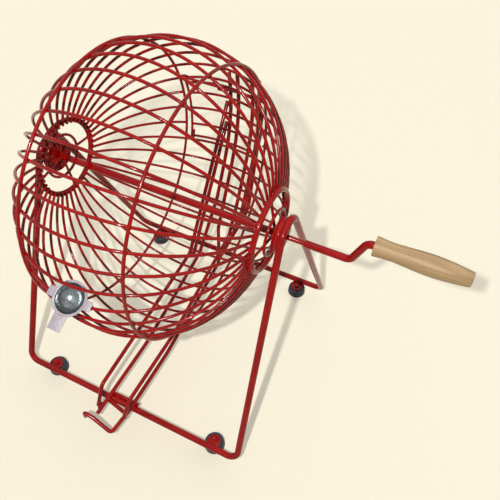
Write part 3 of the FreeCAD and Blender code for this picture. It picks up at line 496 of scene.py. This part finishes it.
guard_right = POST_GUARD + weld_reach
braces = []
for foot, elbow, top in [
        (guard_point(SIDE_GUARD + weld_reach, 104), spot(34, 137, 150), 192),
        (spot(13.7 + weld_reach, 80, 81.6), spot(42, 128, 150), 183)]:
    upper_end = around(guard_right, GUARD_RADIUS, top)
    brace_route = bent_route([foot, elbow, upper_end], [60])
    braces.append(draw_wire("brace", brace_route, RAIL_WIRE, RAIL_SIDES))
    braces.append(brace_weld(foot - east * (BRACE_WELD_SHIFT / 1000)))
    braces.append(brace_weld(around(guard_right - RAIL_WIRE / 2, GUARD_RADIUS, top + 0.8)))
coated_piece("chute_braces_right_wires", braces, "stand", "chute_braces_right")

tie_reach = (STAND_ROD + RAIL_WIRE) / 2 - WELD_SINK
tie_angle = math.radians(TIE_ANGLE)
tie_depth = -CORNER_DEPTH + tie_reach * math.cos(tie_angle)
tie_height = BAR_HEIGHT + tie_reach * math.sin(tie_angle)
cross_wires = [
    straight_wire("cross", spot(LEFT_RAIL + RAIL_WIRE / 2 - WELD_SINK, -150, rail_seat),
                  spot(RIGHT_RAIL - RAIL_WIRE / 2 - 0.4, -156, rail_seat), RAIL_WIRE, RAIL_SIDES,
                  cut=0),
    straight_wire("tie", spot(LEFT_RAIL - 4, tie_depth, tie_height),
                  spot(RIGHT_RAIL + 5, tie_depth, tie_height), RAIL_WIRE, RAIL_SIDES)]
cross_wires += [weld_bead(spot(x, tie_depth - 2.4, tie_height - 0.4), TIE_WELD, TIE_WELD_LONG)
                for x in (-18, -1)]
coated_piece("chute_cross_wires_pair", cross_wires, "stand", "chute_cross_wires")


# ---------------------------------------------------------------- shaft
# A solid 5.5 mm rod runs through the whole drum and turns in the two discs. Inside the cage an
# 8 mm tube sleeves it; the spokes are welded to the tube.
tube_low, tube_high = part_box("shaft_tube")
SHAFT_ROD, SLEEVE_BORE = 5.5, 2.76
shaft_start = Vector((shaft_low.x, axle_y, axle_z))
shaft_stop = Vector((shaft_high.x, axle_y, axle_z))
shaft = straight_wire("shaft_rod_bar", shaft_start, shaft_stop, SHAFT_ROD, sides=20, cut=0.6)
finish_piece(shaft, red, "cage", "red_coating", "shaft_rod")
tube_length = (tube_high.x - tube_low.x) * 1000
tube_outline = [(SLEEVE_BORE, 0), (3.7, 0), (3.95, 0.15), (4, 0.4), (4, tube_length - 0.4),
                (3.95, tube_length - 0.15), (3.7, tube_length), (SLEEVE_BORE, tube_length)]
tube = turn_piece("shaft_tube_sleeve", tube_outline, Vector((tube_low.x, axle_y, axle_z)), east,
                  steps=28, closed=True)
finish_piece(tube, red, "cage", "red_coating", "shaft_tube")


# ---------------------------------------------------------------- crank
# The crank is an 8 mm rod socketed over the shaft's end, cranked upwards by 31 mm in two tight
# bends, and left straight as the pin of the grip.
grip_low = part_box("wood_grip")[0]
crank_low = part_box("crank")[0]
CRANK_ROD, CRANK_BEND, CRANK_THROW, CRANK_ADVANCE = 8.0, 8, 31.0, 12.9
GRIP_GAP, PIN_DEPTH = 6.5, 74.0
pin_height = axle_height + CRANK_THROW
crank_start = (crank_low.x - middle_x) * 1000
grip_start = (grip_low.x - middle_x) * 1000
second_bend = grip_start - GRIP_GAP
crank_rod = draw_wire("crank_bar", bent_route([
    spot(crank_start, 0, axle_height), spot(second_bend - CRANK_ADVANCE, 0, axle_height),
    spot(second_bend, 0, pin_height), spot(grip_start + PIN_DEPTH, 0, pin_height)],
    [CRANK_BEND, CRANK_BEND]), CRANK_ROD, sides=24, cut=0.9)
finish_piece(crank_rod, red, "cage", "red_coating", "crank")


# ---------------------------------------------------------------- grip
# A turned beech grip: square at the crank, waisted, fatter in the middle and rounded at its
# tip. It is drilled for the crank pin, spins on it, and has a thin clear varnish.
def add_mapping(owner, place, scale, shift=(0, 0, 0), turn=(0, 0, 0)):
    """The place shifted, turned and stretched, so that a texture runs along the piece."""
    mapping = owner.node_tree.nodes.new("ShaderNodeMapping")
    mapping.inputs["Location"].default_value = shift
    mapping.inputs["Rotation"].default_value = turn
    mapping.inputs["Scale"].default_value = scale
    owner.node_tree.links.new(place, mapping.inputs["Vector"])
    return mapping.outputs["Vector"]


def add_mix(owner, share, first, second, blend="MIX"):
    """Two colours mixed; each input is a value or comes from another node."""
    mix = owner.node_tree.nodes.new("ShaderNodeMix")
    mix.data_type = "RGBA"
    mix.blend_type = blend
    for name, value in (("Factor", share), ("A", first), ("B", second)):
        if isinstance(value, bpy.types.NodeSocket):
            owner.node_tree.links.new(value, mix.inputs[name])
        else:
            mix.inputs[name].default_value = value
    return mix.outputs["Result"]


def beech():
    """Pale beech: growth bands and fine fibres along the grip, with short darker flecks."""
    wood, shader, place = new_material("varnished_beech")
    shader.inputs["Specular IOR Level"].default_value = 0.35
    along = add_mapping(wood, place, (9, 120, 120), (0, 0.03, -0.29), (0, 0.05, 0.03))
    bands = add_noise(wood, along, 1.6, 5.0, 0.6)
    late, early = (0.285, 0.176, 0.079, 1), (0.50, 0.332, 0.166, 1)
    tones = add_tones(wood, bands, 0.30, late, 0.72, early)
    flecks = wood.node_tree.nodes.new("ShaderNodeTexVoronoi")
    flecks.inputs["Scale"].default_value = 1.0
    fleck_place = add_mapping(wood, place, (260, 1500, 1500))
    wood.node_tree.links.new(fleck_place, flecks.inputs["Vector"])
    fleck_depth = add_range(wood, flecks.outputs["Distance"], 0.58, 1.0, start=0.08, end=0.30)
    grain = add_mix(wood, 0.8, tones, fleck_depth, "MULTIPLY")
    gloss = add_range(wood, bands, 0.42, 0.62)
    set_surface(wood, grain, gloss, fleck_depth, 0.18, 0.2)
    return wood


wood = beech()
PIN_HOLE = 4.05
GRIP_CURVE = [
    (9.95, 1.0), (9.52, 4.8), (9.1, 9.0), (8.85, 14), (8.8, 18.4), (8.9, 22.8), (9.14, 27.2),
    (9.43, 31.6), (9.74, 36), (10.05, 40.4), (10.29, 44.8), (10.44, 49.2), (10.48, 53.7),
    (10.38, 58.1), (10.18, 62.5), (9.87, 66.9), (9.49, 71.3), (9.03, 75.6), (8.5, 80),
    (7.93, 84.5), (7.36, 88.6)]
grip_outline = ([(0, 75), (PIN_HOLE, 75), (PIN_HOLE, 0.5), (4.3, 0.1), (4.7, 0), (9.3, 0),
                 (9.7, 0.12), (9.9, 0.45)] + GRIP_CURVE
                + [(7.2, 89.3), (6.9, 89.75), (6.4, 89.95), (5.8, 90), (0, 90)])
grip = turn_piece("wood_grip_turned", grip_outline, spot(grip_start, 0, pin_height), east, steps=72)
finish_piece(grip, wood, "grip", "grip_wood", "wood_grip")


# ---------------------------------------------------------------- hoops
# Two hoops of 3.4 mm wire lie round the outside of the ribs and are welded to every one. Each
# is rolled from one length and closed with a butt weld.
RIB_WIRE, RIB_COUNT, HOOP_ROD, HOOP_OFFSET = 3.2, 40, 3.4, 56.5
pitch = 360 / RIB_COUNT


def wire_ring(x, radius, thick, steps, sides):
    """A ring rolled from wire, square to the shaft: its section is swept once round."""
    bpy.ops.mesh.primitive_circle_add(vertices=sides, radius=thick / 2000, fill_type="NOTHING",
                                      location=around(x, radius, 0))
    ring = open_piece("ring")
    bpy.ops.mesh.spin(steps=steps, angle=2 * math.pi, center=spot(x, 0, axle_height), axis=east)
    close_seam()
    bpy.ops.object.mode_set(mode="OBJECT")
    return ring


def swing(piece, place, angle):
    """Turns a piece about a line through this place, along the shaft."""
    turn = Matrix.Rotation(math.radians(angle), 4, "X")
    piece.data.transform(Matrix.Translation(place) @ turn @ Matrix.Translation(-place))


def turned_copy(piece, angle):
    """A copy with its own mesh, turned about the shaft from the front over the top."""
    copy = piece.copy()
    copy.data = piece.data.copy()
    bpy.context.scene.collection.objects.link(copy)
    swing(copy, Vector((0, axle_y, axle_z)), -angle)
    return copy


def copies_round(piece, angles):
    """Copies of a piece at these angles round the shaft, in place of the piece itself."""
    copies = [turned_copy(piece, angle) for angle in angles]
    bpy.data.objects.remove(piece)
    return copies


BEAD_SQUASH = 0.62


def bead_round(x, radius, across, count):
    """Equal weld beads round the shaft, flattened a little into their joints."""
    bead = weld_bead(around(x, radius, 0), across, BEAD_SQUASH, north)
    return copies_round(bead, [i * 360 / count for i in range(count)])


HOOP_WELD, HOOP_BUTT_PROUD, HOOP_BUTT_ANGLE, HOOP_CLEARANCE = 3.9, 0.35, 4.5, 0.25
for side, end in ENDS:
    hoop_low, hoop_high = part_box("hoop_" + end)
    hoop_x = side * HOOP_OFFSET
    hoop_radius = (hoop_high.z - hoop_low.z) * 500 - HOOP_ROD / 2 - HOOP_CLEARANCE
    hoop_parts = [wire_ring(hoop_x, hoop_radius, HOOP_ROD, steps=160, sides=14)]
    hoop_parts += bead_round(hoop_x, hoop_radius - HOOP_ROD / 2, HOOP_WELD, RIB_COUNT)
    hoop_parts.append(weld_bead(around(hoop_x, hoop_radius, HOOP_BUTT_ANGLE),
                                HOOP_ROD + HOOP_BUTT_PROUD, 0.7, up))
    coated_piece("hoop_" + end + "_wire", hoop_parts, "cage", "hoop_" + end)


# ---------------------------------------------------------------- ribs
# Forty ribs of 3.2 mm wire, each bowed to half an ellipse, pass under the hoops and end on the
# hub rings. One is modelled and the others are copies turned about the shaft.
BOW_HALF, BOW_HEIGHT, BOW_OFFSET, RIB_END, RIB_SIDES = 127.5, 137.5, 23.0, 42.0, 10


def bow_point(turn, drop=0.0):
    """Place and heading on a rib at the front of the cage, at this turn of its ellipse."""
    radius = BOW_OFFSET + BOW_HEIGHT * math.cos(turn) - drop
    heading = Vector((BOW_HALF * math.cos(turn), BOW_HEIGHT * math.sin(turn), 0)).normalized()
    return around(BOW_HALF * math.sin(turn), radius, 0), heading


def bow_turn(x):
    """The turn at which the rib passes this distance from mid-cage."""
    return math.asin(x / BOW_HALF)


def bow_route(first, last, steps, drop=0.0):
    """Places and headings along a rib between two turns."""
    return [bow_point(first + (last - first) * i / steps, drop) for i in range(steps + 1)]


rib_end = math.acos((RIB_END - BOW_OFFSET) / BOW_HEIGHT)
rib = draw_wire("rib", bow_route(-rib_end, rib_end, 44), RIB_WIRE, RIB_SIDES, cut=0.25)
SECTORS = ["front", "upper_front", "top", "upper_rear", "rear", "lower_rear", "bottom",
           "lower_front"]
CUP_RIB, DOOR_RIBS = 0, [19, 20, 21]
for number, sector in enumerate(SECTORS):
    places = [(number * 5 - 2 + i) % RIB_COUNT for i in range(5)]
    ribs = [turned_copy(rib, i * pitch) for i in places if i != CUP_RIB and i not in DOOR_RIBS]
    coated_piece("ribs_" + sector + "_wires", ribs, "cage", "ribs_" + sector)
bpy.data.objects.remove(rib)


# ---------------------------------------------------------------- ribs cut at the door
# Three ribs are cut away at the door opening; their short ends run from the hub rings to just
# past the hoops on both sides.
stubs = []
stub_turn = bow_turn(HOOP_OFFSET - HOOP_ROD / 2)
for first, last in [(stub_turn, rib_end), (-rib_end, -stub_turn)]:
    stub = draw_wire("stub", bow_route(first, last, 16), RIB_WIRE, RIB_SIDES)
    stubs += copies_round(stub, [i * pitch for i in DOOR_RIBS])
coated_piece("ribs_beside_door_wires", stubs, "cage", "ribs_beside_door")


# ---------------------------------------------------------------- rib at the cup
# The front rib is in two halves. Their inner ends are straightened into one line, and the ball
# cup pivots on them.
CUP_FLANGE, CUP_EAR, CUP_END_GAP = 17.75, 6.5, 0.8
ear_end = CUP_FLANGE + CUP_EAR
pivot_radius = BOW_OFFSET + BOW_HEIGHT * math.cos(bow_turn(ear_end))
halves = []
for side in (-1, 1):
    inner = around(side * (CUP_FLANGE + CUP_END_GAP), pivot_radius, 0)
    outer = around(side * (ear_end - 1), pivot_radius, 0)
    route = [(inner, east * side), (outer, east * side)]
    for place, heading in bow_route(side * bow_turn(ear_end + 6), side * rib_end, 22):
        route.append((place, heading * side))
    halves.append(draw_wire("half", route, RIB_WIRE, RIB_SIDES))
coated_piece("ribs_at_cup_wires", halves, "cage", "ribs_at_cup")


# ---------------------------------------------------------------- hubs
# Each end of the cage is closed by a 6 mm hub ring that carries the rib ends, four short spokes
# from it to the shaft tube, and a thinner ring welded over the spokes.
HUB_RADIUS, HUB_ROD, INNER_RADIUS, INNER_WIRE = 44.4, 6.0, 25.5, 3.3
SPOKES, SPOKE_WIRE, SPOKE_DISH, TUBE_RADIUS = 4, 3.0, 5.2, 4.0
RIB_WELD, RIB_WELD_IN, RIB_WELD_OUT, INNER_WELD, SPOKE_WELD = 3.7, 2.2, 1.9, 3.6, 4.4
for side, end in ENDS:
    ring_low, ring_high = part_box("hub_ring_" + end)
    ring_x = ((ring_low.x + ring_high.x) / 2 - middle_x) * 1000
    ring_parts = [wire_ring(ring_x, HUB_RADIUS, HUB_ROD, steps=88, sides=16)]
    ring_parts += bead_round(ring_x - side * RIB_WELD_IN, HUB_RADIUS + RIB_WELD_OUT, RIB_WELD,
                             RIB_COUNT)
    coated_piece("hub_ring_" + end + "_rod", ring_parts, "cage", "hub_ring_" + end)

    inner_low, inner_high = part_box("hub_inner_ring_" + end)
    inner_x = ((inner_low.x + inner_high.x) / 2 - middle_x) * 1000
    inner_parts = [wire_ring(inner_x, INNER_RADIUS, INNER_WIRE, steps=64, sides=12)]
    inner_parts += bead_round(inner_x - side * INNER_WIRE / 2, INNER_RADIUS, INNER_WELD, SPOKES)
    coated_piece("hub_inner_ring_" + end + "_wire", inner_parts, "cage", "hub_inner_ring_" + end)

    spokes = []
    spoke_x = ring_x + side * SPOKE_DISH
    for i in range(SPOKES):
        outer = around(ring_x, HUB_RADIUS - HUB_ROD / 2 + WELD_SINK, i * 360 / SPOKES)
        inner = around(spoke_x, TUBE_RADIUS - WELD_SINK, i * 360 / SPOKES)
        spokes.append(straight_wire("spoke", outer, inner, SPOKE_WIRE, sides=12, cut=0))
    spokes += bead_round(ring_x, HUB_RADIUS - HUB_ROD / 2, SPOKE_WELD, SPOKES)
    spokes += bead_round(spoke_x, TUBE_RADIUS, SPOKE_WELD, SPOKES)
    coated_piece("hub_spokes_" + end + "_wires", spokes, "cage", "hub_spokes_" + end)


# ---------------------------------------------------------------- ball cup
# A cup pressed from thin sheet: a polished bowl with a flat flange, two ears rolled round the
# pivot ends and a tab that trips it at the chute. It is left bare metal.
def pressed_steel(name, dark, light, smoothest, roughest, metallic):
    """Bare pressed sheet with brushed lines, cloudy patches and soft handling marks."""
    steel, shader, place = new_material(name)
    shader.inputs["Metallic"].default_value = metallic
    cloud = add_noise(steel, place, 900.0, 5.0)
    greys = add_tones(steel, cloud, 0.35, dark, 0.65, light)
    brush = add_noise(steel, add_mapping(steel, place, (3000, 60, 60)), 1.0, 3.0)
    gloss = add_range(steel, brush, smoothest, roughest)
    set_surface(steel, greys, gloss, brush, 0.08, 0.1)
    return steel


satin = pressed_steel("satin_sheet_steel", (0.31, 0.275, 0.30, 1), (0.50, 0.45, 0.48, 1),
                      smoothest=0.42, roughest=0.60, metallic=0.35)
polished = pressed_steel("polished_sheet_steel", (0.15, 0.165, 0.165, 1), (0.27, 0.295, 0.30, 1),
                         smoothest=0.15, roughest=0.26, metallic=0.9)
SHEET, BOWL, BOWL_DEPTH, CUP_TILT, ARC_STEPS = 0.9, 15.0, 12.5, 66.0, 12
TAB_WIDTH, TAB_REACH, EAR_HALF = 14.0, 32.0, 5
PLATE_LAP, PLATE_EDGE, BARREL_BORE = 1.5, 0.25, 1.87
rim = RIB_WIRE / 2 + 0.1 + SHEET
sphere = (BOWL ** 2 + BOWL_DEPTH ** 2) / (2 * BOWL_DEPTH)
sphere_height = rim - BOWL_DEPTH + sphere
flange_under = rim - SHEET
outer_sphere = sphere + SHEET
outer_stop = math.acos((sphere_height - flange_under) / outer_sphere)
inner_stop = math.asin(BOWL / sphere)
cup_outline = []
for i in range(ARC_STEPS + 1):
    a = outer_stop * i / ARC_STEPS
    cup_outline.append((outer_sphere * math.sin(a), sphere_height - outer_sphere * math.cos(a)))
cup_outline += [(CUP_FLANGE - 0.2, flange_under), (CUP_FLANGE, flange_under + 0.25),
                (CUP_FLANGE, rim - 0.25), (CUP_FLANGE - 0.2, rim), (BOWL + 0.6, rim),
                (BOWL + 0.15, rim - 0.15)]
for i in range(ARC_STEPS + 1):
    a = (inner_stop - 0.03) * (1 - i / ARC_STEPS)
    cup_outline.append((sphere * math.sin(a), sphere_height - sphere * math.cos(a)))
pivot = around(0, pivot_radius, 0)
cup_parts = [turn_piece("dish", cup_outline, pivot, up, steps=72)]


def sheet_plate(x_low, x_high, y_low, y_high):
    """A flat strip of the cup's sheet, level with the flange."""
    middle = Vector(((x_low + x_high) / 2, (y_low + y_high) / 2, rim - SHEET / 2)) / 1000
    bpy.ops.mesh.primitive_cube_add(size=0.001, location=pivot + middle)
    plate = open_piece("plate", (x_high - x_low, y_high - y_low, SHEET))
    bpy.ops.object.mode_set(mode="OBJECT")
    round_edges(plate, PLATE_EDGE)
    return plate


cup_parts.append(sheet_plate(-TAB_WIDTH / 2, TAB_WIDTH / 2, -TAB_REACH, -CUP_FLANGE + PLATE_LAP))
barrel_start = CUP_FLANGE + CUP_END_GAP + 0.4
barrel_long = ear_end - barrel_start
barrel_outline = [(BARREL_BORE, 0), (rim - 0.15, 0), (rim - 0.02, 0.15),
                  (rim - 0.02, barrel_long - 0.15), (rim - 0.15, barrel_long),
                  (BARREL_BORE, barrel_long)]
for side in (-1, 1):
    low, high = sorted((side * (CUP_FLANGE - PLATE_LAP), side * ear_end))
    cup_parts.append(sheet_plate(low, high, -EAR_HALF, EAR_HALF))
    barrel_place = pivot + east * (side * barrel_start / 1000)
    cup_parts.append(turn_piece("barrel", barrel_outline, barrel_place, east * side, steps=28,
                                closed=True))
cup = join_pieces("ball_cup_pressing", cup_parts)
finish_piece(cup, satin, "cup", "cup_steel", "ball_cup")
cup.data.materials.append(polished)
for face in cup.data.polygons:
    out = face.center - pivot
    inside = math.hypot(out.x, out.y) < (BOWL - 0.1) / 1000 and face.normal.z > 0.02
    face.material_index = 1 if inside else 0
swing(cup, pivot, 90 - CUP_TILT)


# ---------------------------------------------------------------- filling door
# Five wires welded over two side wires, hung on a wire between the hoops. Coiled ends run round
# that wire, a coil spring presses the door shut and a short tongue behind it is its latch.
DOOR_HALF, HINGE_ANGLE, HINGE_WIRE = 46.5, 160.0, 3.0
hinge_low, hinge_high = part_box("door_hinge_wire")
hinge_y, hinge_z = (hinge_low.y + hinge_high.y) / 2, (hinge_low.z + hinge_high.z) / 2
hinge_radius = math.hypot(hinge_y - axle_y, hinge_z - axle_z) * 1000
hinge = straight_wire("door_hinge_wire_bar", Vector((hinge_low.x, hinge_y, hinge_z)),
                      Vector((hinge_high.x, hinge_y, hinge_z)), HINGE_WIRE, sides=14)
finish_piece(hinge, red, "cage", "red_coating", "door_hinge_wire")

side_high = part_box("door_side_left")[1]
frame_radius = (side_high.y - axle_y) * 1000 - RIB_WIRE / 2 - 0.1
slat_drop = BOW_OFFSET + BOW_HEIGHT * math.cos(bow_turn(DOOR_HALF)) - frame_radius - RIB_WIRE + 0.5
slat_end = bow_turn(DOOR_HALF + RIB_WIRE / 2)
slat = draw_wire("slat", bow_route(-slat_end, slat_end, 16, slat_drop), RIB_WIRE, RIB_SIDES)
SLAT_ANGLES = [164.5, 171, 180, 189, 195.5]
coated_piece("door_wires_bowed", copies_round(slat, SLAT_ANGLES), "door", "door_wires")


def arc_route(x, radius, first, last, steps):
    """Places and headings along a wire curved about the shaft."""
    route = []
    for i in range(steps + 1):
        angle = first + (last - first) * i / steps
        turn = math.radians(angle)
        route.append((around(x, radius, angle), Vector((0, math.sin(turn), math.cos(turn)))))
    return route


SIDE_START, SIDE_STOP, DOOR_WELD, DOOR_WELD_SQUASH = HINGE_ANGLE + 1.25, 196.5, 3.2, 0.6
for side, end in ENDS:
    route = arc_route(side * DOOR_HALF, frame_radius, SIDE_START, SIDE_STOP, 10)
    side_wire = draw_wire("wire", route, RIB_WIRE, RIB_SIDES)
    bead = weld_bead(around(side * DOOR_HALF, frame_radius + RIB_WIRE / 2, 0), DOOR_WELD,
                     DOOR_WELD_SQUASH, north)
    coated_piece("door_side_" + end + "_wire", [side_wire] + copies_round(bead, SLAT_ANGLES),
                 "door", "door_side_" + end)


def coil_of_wire(name, x, outside, length, wire):
    """A close coil wound round the hinge wire."""
    mean = (outside - wire) / 2000
    turns = max(1, round(length / (wire * 1.04)) - 1)
    start = Vector((middle_x + (x - length / 2 + wire / 2) / 1000, hinge_y, hinge_z))
    bpy.ops.mesh.primitive_circle_add(vertices=10, radius=wire / 2000, fill_type="NOTHING",
                                      location=start + up * mean,
                                      rotation=(0, math.pi / 2, math.pi / 2))
    coil = open_piece(name)
    bpy.ops.object.mode_set(mode="OBJECT")
    coil.data.transform(Matrix.Translation(-start))
    coil.location = start
    wind = coil.modifiers.new("wind", "SCREW")
    wind.axis = "X"
    wind.angle = 2 * math.pi
    wind.screw_offset = (length - wire) / turns / 1000
    wind.iterations = turns
    wind.steps = 24
    wind.render_steps = 24
    bpy.ops.object.modifier_apply(modifier=wind.name)
    bpy.ops.object.transform_apply(location=True, rotation=True, scale=True)
    bpy.ops.object.mode_set(mode="EDIT")
    bpy.ops.mesh.select_all(action="DESELECT")
    bpy.ops.mesh.select_mode(type="EDGE")
    bpy.ops.mesh.select_non_manifold(extend=False)
    bpy.ops.mesh.edge_face_add()
    bpy.ops.mesh.select_mode(type="VERT")
    bpy.ops.object.mode_set(mode="OBJECT")
    return coil


COIL_OUTSIDE, COIL_LENGTH, COIL_WIRE = 7.0, 8.0, 1.8
coils = [coil_of_wire("coil", side * DOOR_HALF, COIL_OUTSIDE, COIL_LENGTH, COIL_WIRE)
         for side in (-1, 1)]
coated_piece("door_hinge_coils_wound", coils, "door", "door_hinge_coils")

SPRING_OFFSET, SPRING_OUTSIDE, SPRING_LENGTH, SPRING_WIRE = 4.0, 8.0, 11.0, 2.0
spring_coil = coil_of_wire("spring", SPRING_OFFSET, SPRING_OUTSIDE, SPRING_LENGTH, SPRING_WIRE)
leg_start = around(SPRING_OFFSET, hinge_radius + 2.9, HINGE_ANGLE + 0.9)
leg_end = around(SPRING_OFFSET, BOW_OFFSET + BOW_HEIGHT - slat_drop - 2.8, 165.5)
spring_leg = straight_wire("leg", leg_start, leg_end, HINGE_WIRE, sides=12)
coated_piece("door_spring_wound", [spring_coil, spring_leg], "door", "door_spring")

latch_x = -DOOR_HALF + RIB_WIRE - WELD_SINK
latch = straight_wire("door_latch_tongue", around(latch_x, frame_radius, 191.5),
                      around(latch_x, frame_radius - 1.2, 196.9), RIB_WIRE, RIB_SIDES)
finish_piece(latch, red, "door", "red_coating", "door_latch")


# ---------------------------------------------------------------- floor, light and camera
# A wide cream floor, one small studio lamp a little above and left of the camera, and soft light
# from overhead and from behind. What shines reflects a pale surround.
LAMP_PLACE, LAMP_WIDTH, LAMP_POWER = spot(216, -480, 848), 0.022, 30.0
CREAM, BOUNCED_CREAM = (0.973, 0.905, 0.723, 1), (0.42, 0.39, 0.32, 1)
GLOW_HIGH, GLOW_SLANT, GLOW_SHARE = 1.835, 1.10, 0.40


def add_math(owner, operation, first, second):
    """One step of arithmetic; each input is a number or comes from another node."""
    step = owner.node_tree.nodes.new("ShaderNodeMath")
    step.operation = operation
    for socket, value in zip(step.inputs, (first, second)):
        if isinstance(value, bpy.types.NodeSocket):
            owner.node_tree.links.new(value, socket)
        else:
            socket.default_value = value
    return step.outputs["Value"]


def cream_ground():
    """Plain cream ground. It shows the lamp's shadows, glows more where the lamp lights it less,
    and throws less light back up at the drum than it shows."""
    ground, shader, place = new_material("cream_ground")
    nodes, links = ground.node_tree.nodes, ground.node_tree.links
    shader.inputs["Roughness"].default_value = 0.9
    shader.inputs["Specular IOR Level"].default_value = 0.0
    rays = nodes.new("ShaderNodeLightPath").outputs
    mirrored = add_math(ground, "MAXIMUM", rays["Is Glossy Ray"], rays["Is Transmission Ray"])
    shown = add_math(ground, "MAXIMUM", rays["Is Camera Ray"], mirrored)
    links.new(add_mix(ground, shown, BOUNCED_CREAM, CREAM), shader.inputs["Base Color"])

    reach = nodes.new("ShaderNodeVectorMath")
    reach.operation = "DISTANCE"
    reach.inputs[1].default_value = LAMP_PLACE
    links.new(place, reach.inputs[0])
    reach_squared = add_math(ground, "MULTIPLY", reach.outputs["Value"], reach.outputs["Value"])
    slant = add_math(ground, "DIVIDE", LAMP_PLACE.z, reach_squared)
    dimming = add_math(ground, "MULTIPLY", slant, GLOW_SLANT)
    glow = nodes.new("ShaderNodeEmission")
    glow.inputs["Color"].default_value = CREAM
    links.new(add_math(ground, "SUBTRACT", GLOW_HIGH, dimming), glow.inputs["Strength"])

    blend = nodes.new("ShaderNodeMixShader")
    links.new(add_math(ground, "MULTIPLY", shown, GLOW_SHARE), blend.inputs["Fac"])
    links.new(shader.outputs["BSDF"], blend.inputs[1])
    links.new(glow.outputs["Emission"], blend.inputs[2])
    links.new(blend.outputs["Shader"], nodes["Material Output"].inputs["Surface"])
    return ground


FLOOR_SIDE, FLOOR_DROP = 14, 0.0002
bpy.ops.mesh.primitive_plane_add(size=FLOOR_SIDE, location=(0, 0, -FLOOR_DROP))
floor = open_piece("floor")
bpy.ops.object.mode_set(mode="OBJECT")
floor.data.materials.append(cream_ground())

surround = bpy.data.worlds.new("surround")
surround.use_nodes = True
bpy.context.scene.world = surround
sky_nodes, sky_links = surround.node_tree.nodes, surround.node_tree.links
looking = sky_nodes.new("ShaderNodeTexCoord")
height = sky_nodes.new("ShaderNodeSeparateXYZ")
sky_links.new(looking.outputs["Generated"], height.inputs["Vector"])
sky_rays = sky_nodes.new("ShaderNodeLightPath").outputs


def sky_band(low, dark, high, light):
    """A surround that is dark up to one height and light from a second one on."""
    return add_tones(surround, height.outputs["Z"], low, (dark, dark, dark, 1), high,
                     (light, light, light, 1))


overhead = sky_band(0.1, 0.04, 0.7, 0.25)
behind = add_range(surround, height.outputs["Y"], 0.0, 1.1)
soft_light = add_mix(surround, 1.0, overhead, behind, "ADD")
lighting = add_mix(surround, sky_rays["Is Glossy Ray"], soft_light, sky_band(0.60, 0.80, 0.90, 1.6))
backdrop = add_mix(surround, sky_rays["Is Camera Ray"], lighting, CREAM)
sky_links.new(backdrop, sky_nodes["Background"].inputs["Color"])
sky_nodes["Background"].inputs["Strength"].default_value = 1.0

lamp_data = bpy.data.lights.new("key", "POINT")
lamp_data.shadow_soft_size = LAMP_WIDTH / 2
lamp_data.energy = LAMP_POWER
lamp_data.use_nodes = True
# The lamp's light fades gently with distance, as from a lamp that is larger and further away.
lamp_nodes = lamp_data.node_tree.nodes
fading = lamp_nodes.new("ShaderNodeLightFalloff")
fading.inputs["Strength"].default_value = 1.0
lamp_data.node_tree.links.new(fading.outputs["Linear"], lamp_nodes["Emission"].inputs["Strength"])
lamp = bpy.data.objects.new("key", lamp_data)
bpy.context.scene.collection.objects.link(lamp)
lamp.location = LAMP_PLACE

CAMERA_PLACE, CAMERA_TURN = spot(274.02, -344.10, 691.67), (39.9596, -0.1645, 26.009)
LENS, SENSOR = 39.04, 36
camera_data = bpy.data.cameras.new("camera")
camera_data.lens = LENS
camera_data.sensor_width = SENSOR
camera = bpy.data.objects.new("camera", camera_data)
bpy.context.scene.collection.objects.link(camera)
camera.location = CAMERA_PLACE
camera.rotation_euler = [math.radians(a) for a in CAMERA_TURN]
bpy.context.scene.camera = camera
bpy.context.scene.view_settings.view_transform = "Standard"
